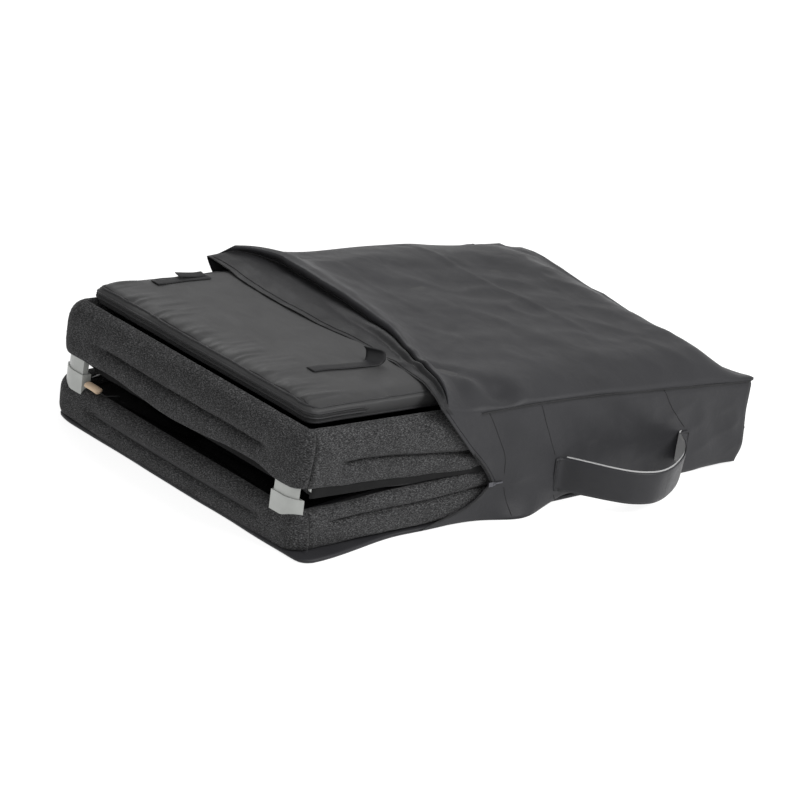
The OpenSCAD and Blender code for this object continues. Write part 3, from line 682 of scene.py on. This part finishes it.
def inflate(o, voxel, pressure, cap):
    """Fills the pad with air for a moment, so that the cloth takes its own shape."""
    mod = o.modifiers.new("remesh", "REMESH")
    mod.mode, mod.voxel_size, mod.use_smooth_shade = "VOXEL", voxel, True
    apply_modifiers(o)
    start = np.array([v.co for v in o.data.vertices])
    cloth = o.modifiers.new("cloth", "CLOTH")
    cs = cloth.settings
    cs.use_pressure, cs.uniform_pressure_force = True, pressure
    cs.effector_weights.gravity = 0
    cs.quality = 4
    cs.tension_stiffness = cs.compression_stiffness = 12
    cs.bending_stiffness = 0.4
    cloth.collision_settings.use_collision = False
    for f in range(1, 21):
        scene.frame_set(f)
    dg = bpy.context.evaluated_depsgraph_get()
    moved = np.array([v.co for v in o.evaluated_get(dg).data.vertices])
    o.modifiers.clear()
    scene.frame_set(1)
    step = moved - start
    far = np.linalg.norm(step, axis=1)[:, None]
    step *= np.minimum(1, cap / np.maximum(far, 1e-9))
    o.data.vertices.foreach_set("co", (start + step).astype(np.float32).ravel())
    o.data.update()
    sub = o.modifiers.new("sub", "SUBSURF")
    sub.levels = sub.render_levels = 1
    apply_modifiers(o)


def apply_modifiers(o):
    dg = bpy.context.evaluated_depsgraph_get()
    mesh = bpy.data.meshes.new_from_object(o.evaluated_get(dg))
    mats = list(o.data.materials)
    o.modifiers.clear()
    old = o.data
    o.data = mesh
    bpy.data.meshes.remove(old)
    if not mesh.materials and mats:
        mesh.materials.append(mats[0])
    mesh.polygons.foreach_set("use_smooth", [True] * len(mesh.polygons))


pad = mattress()
pad_tree = tree_of(pad)


def mattress_lines():
    """The piped edges, the zip round the left end and the stitching on top."""
    x0, x1, y0, y1, r = MAT_X0, MAT_X1, MAT_Y0, MAT_Y1, PAD_R

    def loop(inset, step):
        a, b = x1 - x0 - 2 * r, y1 - y0 - 2 * r
        pts = []
        turns = (x0 + r, y0 + r, 180), (x1 - r, y0 + r, 270), (x1 - r, y1 - r, 0), (x0 + r, y1 - r, 90)
        for (cx, cy, a0), length in zip(turns, (a, b, a, b)):
            for t in np.linspace(0, 90, 7):
                ang = math.radians(a0 + t)
                pts.append((cx + (r - inset) * math.cos(ang), cy + (r - inset) * math.sin(ang)))
            ax, ay = pts[-1]
            ang = math.radians(a0 + 180)
            for t in np.arange(step, length, step):
                pts.append((ax + t * math.cos(ang), ay + t * math.sin(ang)))
        return np.array(pts)

    def around(height, starts_x=None):
        p = loop(-0.03, 0.006)
        centre = np.clip(p, (x0 + 0.03, y0 + 0.03), (x1 - 0.03, y1 - 0.03))
        if starts_x is not None:
            keep = p[:, 0] < starts_x
            order = np.where(keep)[0]
            whole = order[-1] - order[0] + 1 == len(order)
            cut = -1 if whole else np.argmax(np.diff(order))
            order = np.roll(order, -(cut + 1))
            p, centre = p[order], centre[order]
        wave = 0.0007 * noise(p[:, 0] + p[:, 1], height, 51, 0.05)
        a = tilt(np.column_stack([p, height + wave]))
        b = tilt(np.column_stack([centre, height + wave]))
        out = []
        for s, e in zip(a, b):
            d = Vector(e - s).normalized()
            hit, _, _, _ = pad_tree.ray_cast(Vector(s), d)
            if hit is not None:
                out.append(list(hit - d * 0.0002))
        return np.array(out)

    made = [
        tube("mattress_piping_top", around(MAT_Z1 - 0.0065), 0.0021, PIPING, closed=True),
        # The lower piping takes the darker webbing cloth instead of the piping cloth: painted shade for the
        # shadowed gap between the pad and the band.
        tube("mattress_piping_low", around(MAT_Z0 + 0.006), 0.0021, WEBBING_AND_SHADE, closed=True),
        tube("mattress_zip_upper", around(MAT_Z1 - 0.0145, X0 + 0.16), 0.0017, PIPING),
        tube("mattress_zip_middle", around(MAT_Z1 - 0.0185, X0 + 0.165), 0.0011, THREAD),
        tube("mattress_zip_lower", around(MAT_Z1 - 0.0225, X0 + 0.16), 0.0017, PIPING),
    ]
    p = loop(0.014, 0.006)
    above = tilt(np.column_stack([p, np.full(len(p), MAT_Z1 + 0.03)]))
    line = laid_on(pad_tree, above, (0, 0, -1), 0.00005)
    made.append(tube("mattress_stitching", line, 0.00055, THREAD, closed=True, sides=6))
    for o in made:
        carried(o, "mattress")


mattress_lines()


def mattress_straps():
    def on_top(x, y, lift):
        hit, _, _, _ = pad_tree.ray_cast(Vector((x, y, 0.35)), Vector((0, 0, -1)))
        return np.array([x, y, hit.z + lift])

    def strap(name, points, across, width):
        path = spline(np.array(points), len(across))
        o = ribbon(f"mattress_strap_{name}", path, across, width, 0.0022, WEBBING_AND_SHADE)
        carried(o, "mattress")
        return o

    xs = np.linspace(-0.352, -0.228, 16)
    flat = [on_top(x, -0.153 + 0.004 * math.sin((x + 0.4) * 30), 0.0016) for x in xs]
    risen = np.array([(5, 1, 1.5), (9, 2, 5), (11, 4, 11), (11, 6, 17), (7, 8, 22)]) * MM
    t = np.linspace(0, 1, 50)[:, None]
    k = ease(0.72, 0.86, t)
    across = (1 - k) * np.array([[0, 1, 0.0]]) + k * np.array([[-0.60, 0.80, 0.02]])
    width = 0.022 + 0.012 * ease(0.7, 0.9, t[:, 0])
    front = strap("front", flat + [flat[-1] + v for v in risen], across, width)
    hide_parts("mattress_straps")
    xs = np.linspace(-0.357, -0.240, 16)
    run = [on_top(x, 0.266 + 0.003 * math.sin(x * 40), 0.0016) for x in xs]
    back = strap("back", run, np.tile([[0, 1, 0.0]], (40, 1)), 0.022)
    xs = np.linspace(-0.300, -0.244, 12)
    run = [on_top(x, 0.275, 0.0046 + 0.004 * ((-0.244 - x) / 0.056) ** 2) for x in xs]
    tab = strap("tab", run, np.tile([[0.1, 1, 0.12]], (30, 1)), 0.018)


mattress_straps()


# ---------------- the carry bag
def seam_front(x):
    return curve([-0.30, -0.231, -0.18, -0.138, -0.03, 0.106, 0.251, 0.351, 0.476, 0.51],
                 [0.232, 0.222, 0.207, 0.199, 0.197, 0.190, 0.177, 0.168, 0.157, 0.156], x)


def seam_back(x):
    return curve([-0.30, -0.20, -0.113, -0.04, 0.04, 0.155, 0.214, 0.273, 0.333, 0.394, 0.455, 0.50],
                 [0.228, 0.236, 0.238, 0.222, 0.210, 0.203, 0.198, 0.192, 0.181, 0.172, 0.166, 0.162], x)


def top_mouth(y):
    return curve([-0.34, -0.30, -0.254, -0.152, -0.087, 0.035, 0.137, 0.230, 0.280, 0.312, 0.34],
                 [-0.231, -0.215, -0.202, -0.190, -0.184, -0.198, -0.202, -0.196, -0.188, -0.188, -0.192],
                 y)


def face_mouth(t):
    """x of the free edge on the long faces, from the floor (0) to the top seam (1)."""
    return curve([0, 0.04, 0.085, 0.2, 0.275, 0.312, 0.36, 0.497, 0.762, 0.9, 1.0],
                 [-0.235, -0.210, -0.175, -0.128, -0.106, -0.095, -0.100, -0.122, -0.176, -0.208, -0.231],
                 t)


N_BOTTOM, N_FACE, N_TOP, N_END = 56, 42, 90, 56
TOP_LIMIT = 0.244


def held_down(z):
    """Rounds off what would stand higher than the cloth does."""
    return np.where(z > TOP_LIMIT, TOP_LIMIT + 0.009 * np.tanh((z - TOP_LIMIT) / 0.009), z)


def mouth_folds(n):
    """How the mouth's rolled edge runs at its front and back end: (share of its width, height)."""
    at_front = np.array([
        (0, 0.3), (0.03, 1.6), (0.12, 3.5), (0.26, 7), (0.40, 8), (0.50, 5.5), (0.57, 3), (0.63, 3),
        (0.68, 7), (0.74, 13), (0.81, 16), (0.88, 13), (0.94, 6), (1.00, 2.5), (1.02, 4), (0.97, 8),
        (0.93, 15), (0.94, 21), (1.00, 25), (1.10, 24), (1.28, 17), (1.5, 9), (1.8, 4), (2.2, 0)]) * [1, MM]
    at_back = np.array([
        (0, 0.3), (0.03, 1.4), (0.12, 2.6), (0.26, 4.5), (0.40, 6), (0.52, 5.5), (0.62, 5), (0.70, 4.5),
        (0.78, 4.5), (0.86, 4.0), (0.94, 3), (1.02, 2), (1.06, 3.5), (1.02, 7), (0.95, 12), (0.92, 18),
        (0.93, 23.5), (0.99, 27.5), (1.08, 28), (1.22, 22), (1.42, 13), (1.7, 6), (2.2, 0)]) * [1, MM]
    return spline(at_front, n), spline(at_back, n)


def mouth_at(kind, q):
    """Where a column's free edge is, how wide its roll is and how much of the roll it has."""
    if kind == "top":
        width = curve([-0.34, -0.272, -0.2, -0.141, -0.07, -0.014, 0.091, 0.187, 0.244, 0.285, 0.312, 0.34],
                      [0.024, 0.026, 0.038, 0.052, 0.074, 0.088, 0.110, 0.115, 0.109, 0.086, 0.064, 0.034],
                      q)
        drawn = float(ease(-0.335, -0.29, q)) * math.sqrt(max(0.0, 1 - (max(0.0, q - 0.285) / 0.054) ** 2))
        size = curve([-0.34, -0.25, -0.1, 0.1, 0.25, 0.34], [0.55, 0.75, 0.85, 0.95, 1.0, 0.8], q)
        return float(top_mouth(q)), float(width), drawn * float(size)
    if kind == "bottom":
        g = min(1.0, (FACE - abs(q)) / 0.20)
        return -0.235 + 0.13 * (1 - (1 - g) ** 1.6), 0.030, 0.0
    return float(face_mouth(q)) + (0.039 * q**3 if kind == "back" else 0.0), 0.030, 0.0


def bag_columns():
    """The bag as columns that run from the mouth to the closed end, round its four sides."""
    rows = [("bottom", y) for y in np.linspace(FACE, -FACE, N_BOTTOM + 1)[:-1]]
    rows += [("front", t) for t in np.linspace(0, 1, N_FACE + 1)[:-1]]
    rows += [("top", y) for y in np.linspace(-FACE, FACE, N_TOP + 1)[:-1]]
    rows += [("back", t) for t in np.linspace(1, 0, N_FACE + 1)[:-1]]
    near = np.concatenate([np.linspace(0, 1.25, 84), np.linspace(1.25, 2.6, 34)[1:]])
    far = np.linspace(0, 1, 88)[1:]
    f0, f1 = mouth_folds(len(near))
    shell = np.zeros((len(near) + len(far), len(rows), 3))
    for j, (kind, q) in enumerate(rows):
        mouth, width, amount = mouth_at(kind, q)
        to_back = float(ease(-0.12, 0.14, q)) if kind == "top" else 0.0
        fx, fh = (f0 + (f1 - f0) * to_back).T
        mix = ease(0.0, 0.3, amount)
        x_near = mouth + (mix * fx + (1 - mix) * near) * width
        x = np.concatenate([x_near, x_near[-1] + (X_END - x_near[-1]) * far])
        if kind == "bottom":
            y = np.full(len(x), q)
            z = 0.0016 + 0.0004 * noise(x, y, 61, 0.05)
            z = z + (edge_low(x) - 0.0016) * np.clip(1 - (FACE - abs(q)) / 0.03, 0, 1) ** 2
        elif kind == "top":
            y = np.full(len(x), q)
            roll = np.concatenate([fh * amount * min(1.0, 0.70 + 3.0 * width), np.zeros(len(far))])
            z = held_down(top_height(x, y) + roll)
        else:
            s = -1 if kind == "front" else 1
            top = seam_front(x) if s < 0 else seam_back(x)
            low = edge_low(x) if s < 0 else edge_low(x + 0.4)
            z = low + (top - low) * q
            y = s * (FACE + np.maximum(face_swell(x, z, q, s), -0.0020))
        shell[:, j] = np.stack([x, y, z], -1)
    return shell, len(near)


def rounded_end(shell):
    """The closed end rounded in plan and in height, with a pinched nub at each upper corner."""
    x, y, z = shell[..., 0], shell[..., 1], shell[..., 2]
    late = ease(0.42, X_END, x)
    side = ease(0.29, FACE, np.abs(y))
    x = x - 0.014 * late * side * (1 - 0.60 * bell(z, 0.165, 0.016))
    middle = bell(y, 0.0, 0.5) * (1 - np.abs(y) / FACE) * ease(0.05, 0.12, z)
    x = x - 0.010 * late * (1 - ease(0.0, 0.03, z)) - 0.012 * late**4 * middle
    return np.stack([x, y, z], -1)


def end_panel(last):
    """The closed end, spanned between the four runs of the last ring."""
    bottom = last[: N_BOTTOM + 1]
    front = last[N_BOTTOM : N_BOTTOM + N_FACE + 1]
    top = last[N_BOTTOM + N_FACE : N_BOTTOM + N_FACE + N_TOP + 1]
    back = np.vstack([last[N_BOTTOM + N_FACE + N_TOP :], last[:1]])
    at = np.linspace(0, N_TOP, N_END + 1)
    high = np.array([np.interp(at, np.arange(N_TOP + 1), top[:, c]) for c in range(3)]).T[:, None]
    u, v = np.linspace(0, 1, N_END + 1)[:, None, None], np.linspace(0, 1, N_FACE + 1)[None, :, None]
    low = bottom[::-1][:, None]
    left, right = front[None], back[::-1][None]
    panel = (1 - v) * low + v * high + (1 - u) * left + u * right - (
        (1 - u) * (1 - v) * low[:1] + u * (1 - v) * low[-1:] + (1 - u) * v * high[:1] + u * v * high[-1:])
    bulge = 0.010 * np.sin(np.pi * u[..., 0]) ** 0.5 * np.sin(np.pi * v[..., 0]) ** 0.5
    soft = 0.0015 * noise(panel[..., 1], panel[..., 2], 66, 0.05) * np.sin(np.pi * v[..., 0])
    panel[..., 0] = np.minimum(panel[..., 0] + bulge, X_END + 0.004) + soft
    return panel


def bag():
    shell, near = bag_columns()
    shell = rounded_end(shell)
    m, n = shell.shape[:2]
    panel = end_panel(shell[-1])
    faces = grid_faces(m, n, False, True) + grid_faces(*panel.shape[:2], start=m * n)
    points = np.concatenate([shell.reshape(-1, 3), panel.reshape(-1, 3)])
    o = mesh_object("carry_bag", points, faces, BAG)
    o.data.materials.append(FLAP_SHADE)
    # The flap's faces near the mouth take the darker copy, as painted shade from the rolled edge above them.
    turned = N_BOTTOM + N_FACE + np.arange(-2, N_TOP + 2)
    for k in [i * n + j for i in range(int(near * 0.42)) for j in turned]:
        o.data.polygons[k].material_index = 1
    weld(o, 0.0012)
    solid = o.modifiers.new("thick", "SOLIDIFY")
    solid.thickness, solid.offset, solid.use_even_offset = 0.0011, -1.0, False
    return o, shell


def weld(o, distance):
    bm = bmesh.new()
    bm.from_mesh(o.data)
    edge = [v for v in bm.verts if v.is_boundary and v.co.x > 0.3]
    bmesh.ops.remove_doubles(bm, verts=edge, dist=distance)
    bmesh.ops.recalc_face_normals(bm, faces=bm.faces)
    bm.to_mesh(o.data)
    bm.free()


def edge_low(x):
    """Height of the bag's lower edge, which lifts and drops along its length."""
    uneven = 0.0040 * (1 + noise(x, 0.0, 62, 0.11)) * 0.6
    return 0.0014 + uneven * (1 - bell(x, -0.05, 0.09)) + 0.008 * bell(x, 0.085, 0.035)


def face_swell(x, z, t, s):
    """How far the long faces stand out from their plane."""
    mid = np.sin(np.pi * np.clip(t, 0, 1)) ** 0.7
    folds = noise(x + 0.3 * z, z * 0.35, 63 + s, 0.05) * 0.0030 + noise(x, z, 65 + s, 0.11) * 0.0035
    lip = 0.0042 * bell(t, 1.0, 0.020) - 0.0045 * bell(t, 0.950, 0.016)
    hem_gap = x - face_mouth(t)
    hem = 0.0009 * (1 - ease(0.009, 0.0105, hem_gap)) - 0.0010 * bell(hem_gap, 0.0105, 0.0012)
    crumple = 0.0020 * (0.35 - np.abs(noise(x + 0.5 * z, z - 0.3 * x, 64 + s, 0.045)))
    sag = 0.028 * np.clip(1 - t / 0.27, 0, 1) ** 1.5 * bell(x, -0.036, 0.062) * (s < 0)
    swell = mid * (folds + crumple + 0.003) + 0.0015 * mid * np.sin((x * 0.8 + z) * 60)
    return sag + swell + lip * ease(-0.15, -0.10, x) + hem


def top_height(x, y):
    """The bag's top, drawn over the mattress, sloping to its side seams and its closed end."""
    mid = plane_z(x, MAT_Z1 + 0.0018)
    # beyond the mattress the cloth drops to the end seam
    t = np.clip((y + FACE) / (2 * FACE), 0, 1)
    end = curve([0, 0.06, 0.16, 0.36, 0.57, 0.67, 0.77, 0.88, 0.95, 1],
                [0.158, 0.147, 0.143, 0.153, 0.166, 0.172, 0.177, 0.179, 0.173, 0.163], t)
    drop = ease(0.395, 0.505, x) ** 1.15
    mid = mid * (1 - drop) + end * drop
    wide = curve([-0.3, -0.15, 0.0, 0.2, 0.5], [0.060, 0.085, 0.105, 0.095, 0.09], x)
    a = np.clip((y + FACE) / wide, 0, 1)
    b = np.clip((FACE - y) / curve([-0.3, -0.1, 0.1, 0.3, 0.5], [0.07, 0.07, 0.09, 0.13, 0.13], x), 0, 1)
    rise = 1 - (1 - a) ** 2.1
    z = mid + (seam_front(x) - mid) * (1 - rise) + (seam_back(x) - mid) * (1 - b) ** 2
    inside = ease(0.0, 0.05, y + FACE) * ease(0.0, 0.03, FACE - y)
    soft = noise(x, y, 67, 0.13) * 0.0028 + noise(x * 0.8 + y * 0.5, y, 68, 0.055) * 0.0012
    crumple = (0.3 - np.abs(noise(x + 0.35 * y, y - 0.2 * x, 74, 0.075))) * 0.0035 * ease(-0.12, 0.02, x)
    crumple = crumple + (0.3 - np.abs(noise(x * 0.6 + y, y * 0.7 - x, 75, 0.030))) * 0.0007
    z = z + inside * (soft + crumple)
    ridge_x = curve([-0.13, -0.067, 0.118, 0.298], [0.262, 0.262, 0.246, 0.254], y)
    z = z + 0.0022 * bell(x, ridge_x, 0.007) * ease(-0.2, -0.1, y)
    z = z + 0.0014 * bell(x, ridge_x - 0.22, 0.010) * ease(-0.12, 0.0, y) * inside
    # creases that run off from the mouth's front end
    z = z - 0.0095 * bell(x, -0.078, 0.024) * bell(y, -0.303, 0.020)
    z = z + 0.0055 * bell(x, -0.125, 0.020) * bell(y, -0.285, 0.030)
    z = z + 0.0045 * bell(x, -0.033, 0.018) * bell(y, -0.312, 0.016)
    line = (y + 0.20) * 0.55 + 0.835 * (x + 0.17)
    along = 0.835 * (y + 0.20) - 0.55 * (x + 0.17)
    waves = 0.0040 * bell(line, 0.0, 0.011) - 0.0030 * bell(line, 0.024, 0.012)
    z = z + (waves + 0.0022 * bell(line, 0.050, 0.013)) * bell(along, -0.03, 0.09)
    z = z + 0.0060 * bell(x, -0.105, 0.070) * bell(y, 0.300, 0.050)
    return held_down(z)


bag_shell, ring = bag()
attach(bag_shell, "bag")
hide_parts("bag_bottom", "bag_top", "bag_flap", "bag_side_front", "bag_side_back", "bag_end")
bag_tree = tree_of(bag_shell)


def on_face(points, lift):
    """Points (x, z) laid on the bag's front."""
    return laid_on(bag_tree, [(x, -0.40, z) for x, z in points], (0, 1, 0), lift)


def bag_lines():
    seams = {
        "bag_seam_mouth": ([(-0.116, 0.192), (-0.093, 0.155), (-0.070, 0.110), (-0.066, 0.075)], 40),
        "bag_seam_mouth_low": ([(-0.064, 0.052), (-0.061, 0.030), (-0.056, 0.006)], 30),
        "bag_seam_end": ([(0.280, 0.168), (0.306, 0.128), (0.340, 0.090)], 40),
        "bag_seam_patch": ([(0.000, 0.186), (0.022, 0.135), (0.044, 0.090)], 40),
        "bag_seam_patch_low": ([(0.050, 0.018), (0.056, 0.006)], 10),
    }
    for name, (points, n) in seams.items():
        line = on_face(spline(points, n), 0.0001)
        carried(tube(name, line, 0.0006, THREAD, sides=6), "bag")
    # the zip's teeth along the free edge of the front, above and below the slider
    for name, start, end in (("bag_zip_teeth", 0.30, 0.62), ("bag_zip_teeth_low", 0.31, 0.05)):
        ts = np.linspace(start, end, 60)
        x = face_mouth(ts) + 0.0045
        top, low = seam_front(x), edge_low(x)
        points = on_face(np.stack([x, low + (top - low) * ts], -1), 0.0006)
        carried(tube(name, points, 0.0015, THREAD, sides=6), "bag")
    # welts on the long upper seams
    for tag, side, seam, x_from in (("front", -1, seam_front, -0.135), ("back", 1, seam_back, -0.06)):
        xs = np.linspace(x_from, 0.485, 160)
        z = seam(xs) - 0.0048
        y = side * (FACE + 0.0014 + 0.0004 * noise(xs, 1.0, 69, 0.03))
        carried(tube(f"bag_welt_{tag}", np.stack([xs, y, z], -1), 0.0012, THREAD), "bag")


def bag_hem():
    """The stitched hem along the mouth's free edge."""
    front, top = N_BOTTOM, N_BOTTOM + N_FACE
    back = top + N_TOP
    hems = (
        ("top", ring[5, top:back], (0, 0, 0.0003)),
        ("front", ring[3, front + 1 : top], (0, -0.0004, 0)),
        ("back", ring[3, back : back + N_FACE - 1], (0, 0.0004, 0)),
    )
    for tag, line, lift in hems:
        o = tube(f"bag_hem_{tag}", spline(line + np.array(lift), 160), 0.0006, THREAD, sides=6)
        carried(o, "bag")


bag_lines()
bag_hem()


# ---------------- the handle
def handle():
    plan = spline([(0.046, -0.3366), (0.062, -0.3385), (0.084, -0.372), (0.108, -0.408), (0.135, -0.435),
                   (0.170, -0.447), (0.205, -0.441), (0.245, -0.422), (0.280, -0.399), (0.305, -0.374),
                   (0.319, -0.352), (0.327, -0.3390), (0.347, -0.3366)], 130)
    x, y = plan.T
    t = np.linspace(0, 1, len(x))
    mid = 0.053 + 0.002 * np.sin(t * 7)
    width = 0.062 - 0.010 * ease(0.72, 0.95, t)
    mid = mid + 0.005 * ease(0.72, 0.95, t)
    path = np.stack([x, y, mid], -1)
    lean = 0.16 * np.sin(np.pi * t)
    tangent = np.gradient(path, axis=0)
    side = np.cross(tangent, [0, 0, 1.0])
    side /= np.linalg.norm(side, axis=1)[:, None]
    across = np.array([0, 0, 1.0])[None] + side * lean[:, None]
    strap = ribbon("handle_strap", path, across, width, 0.0026, BAG, half=13)
    free = slice(7, -3)
    under = (path - side * 0.0021)[free] + [0, 0, 0.0022]
    lining = ribbon("handle_lining", under, across[free], width[free] - 0.0010, 0.0012, LIGHT_TAPE)
    for o in (strap, lining):
        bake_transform(o)
    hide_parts("bag_handle", "handle_patches")
    for tag, (x0, x1) in (("left", (0.048, 0.062)), ("right", (0.335, 0.349))):
        box = [(x0, 0.026), (x1, 0.026), (x1, 0.080), (x0, 0.080), (x0, 0.026)]
        points = []
        for a, b in zip(box[:-1], box[1:]):
            for k in np.linspace(0, 1, 14)[:-1]:
                points.append((a[0] + (b[0] - a[0]) * k, -0.3381, a[1] + (b[1] - a[1]) * k))
        stitch = tube(f"handle_stitch_{tag}", points, 0.00045, THREAD, closed=True, sides=6)
        carried(stitch, "bag")


handle()


# ---------------- the mesh walls
def wall(cad, body, along, name):
    """A full rectangle of net in the plane of a wall panel."""
    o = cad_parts[cad]
    co = np.array([v.co for v in o.data.vertices])
    centre = co.mean(0)
    _, _, vt = np.linalg.svd(co - centre, full_matrices=False)
    normal = vt[2] * np.sign(vt[2][2])
    axis = 0 if along == "x" else 1
    e1 = np.eye(3)[axis]
    if along == "x":
        e1 = e1 - normal * (e1 @ normal)
        e1 /= np.linalg.norm(e1)
    e2 = np.cross(normal, e1)
    a, b = (co - centre) @ e1, (co - centre) @ e2
    m, n = 46, 20
    u, v = np.meshgrid(np.linspace(a.min(), a.max(), m), np.linspace(b.min(), b.max(), n), indexing="ij")
    wave = 0.0010 * noise(u, v, 81 + len(name), 0.06) * np.sin(np.pi * np.linspace(0, 1, n))[None]
    pts = centre + u[..., None] * e1 + v[..., None] * e2 + wave[..., None] * normal
    w = mesh_object(name, pts, grid_faces(m, n), NET)
    carried(w, body)
    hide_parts(cad)


for side in ("front", "back"):
    for part in ("lower", "upper"):
        wall(f"wall_{side}_{part}", f"{side}_wall_{part}", "x", f"net_{side}_{part}")
for side, leg in (("left", "fl"), ("right", "fr")):
    for part in ("lower", "upper"):
        wall(f"wall_{side}_{part}", f"leg_{leg}_{part}", "y", f"net_{side}_{part}")


# ---------------- small trim at the back left corner
def trim():
    path = spline([(-0.490, 0.248, 0.080), (-0.489, 0.232, 0.0795), (-0.488, 0.216, 0.078)], 24)
    carried(tube("beige_tag", path, 0.0085, SLEEVE, sides=12, flat=0.62), "base")
    wire = spline([(-0.488, 0.214, 0.0775), (-0.484, 0.205, 0.074), (-0.474, 0.199, 0.0745),
                   (-0.462, 0.193, 0.0745)], 24)
    carried(tube("tag_loop", wire, 0.0011, THREAD, sides=8), "base")


trim()

# ---------------- floor, light and camera
floor_mat, _, _, fb = material("floor", (0.32, 0.32, 0.32), 0.9, spec=0.0)
fb.inputs["Emission Color"].default_value = (1, 1, 1, 1)
fb.inputs["Emission Strength"].default_value = 0.82
FLOOR, UNDER = 6, -0.0005
corners = [(-FLOOR, -FLOOR, UNDER), (FLOOR, -FLOOR, UNDER), (FLOOR, FLOOR, UNDER), (-FLOOR, FLOOR, UNDER)]
floor = mesh_object("floor", corners, [[0, 1, 2, 3]], floor_mat)

world = bpy.data.worlds.new("studio")
scene.world = world
world.use_nodes = True
world.node_tree.nodes["Background"].inputs["Color"].default_value = (1, 1, 1, 1)
world.node_tree.nodes["Background"].inputs["Strength"].default_value = 0.60


def soft_light(name, location, target, size, power):
    data = bpy.data.lights.new(name, "AREA")
    data.shape, data.size, data.energy = "DISK", size, power
    o = bpy.data.objects.new(name, data)
    scene.collection.objects.link(o)
    o.location = location
    o.rotation_mode = "QUATERNION"
    o.rotation_quaternion = (Vector(target) - Vector(location)).to_track_quat("-Z", "Y")


soft_light("key", (0.9, -2.3, 2.2), (0.0, 0.0, 0.1), 1.8, 95)
soft_light("rim", (0.6, 2.2, 1.8), (0.0, 0.1, 0.15), 1.4, 14)
soft_light("fill", (-1.8, -1.6, 1.6), (-0.2, 0.0, 0.1), 1.8, 12)

scene.view_settings.view_transform = "Standard"
camera_data = bpy.data.cameras.new("camera")
camera = bpy.data.objects.new("camera", camera_data)
scene.collection.objects.link(camera)
scene.camera = camera
azimuth, elevation, distance = math.radians(-42.7), math.radians(21.5), 8.0
level = math.cos(elevation)
back = Vector((math.sin(azimuth) * level, -math.cos(azimuth) * level, math.sin(elevation)))
camera.location = Vector((-0.02, 0, 0.09)) + back * distance
aim = (-back).to_track_quat("-Z", "Y").to_matrix().to_4x4()
camera.rotation_mode = "QUATERNION"
camera.rotation_quaternion = (aim @ Matrix.Rotation(math.radians(7.5), 4, "Z")).to_quaternion()
camera_data.sensor_width, camera_data.lens = 36.0, 212.4
camera_data.shift_x, camera_data.shift_y = 0.00375, -0.01375
camera_data.clip_start, camera_data.clip_end = 0.1, 60
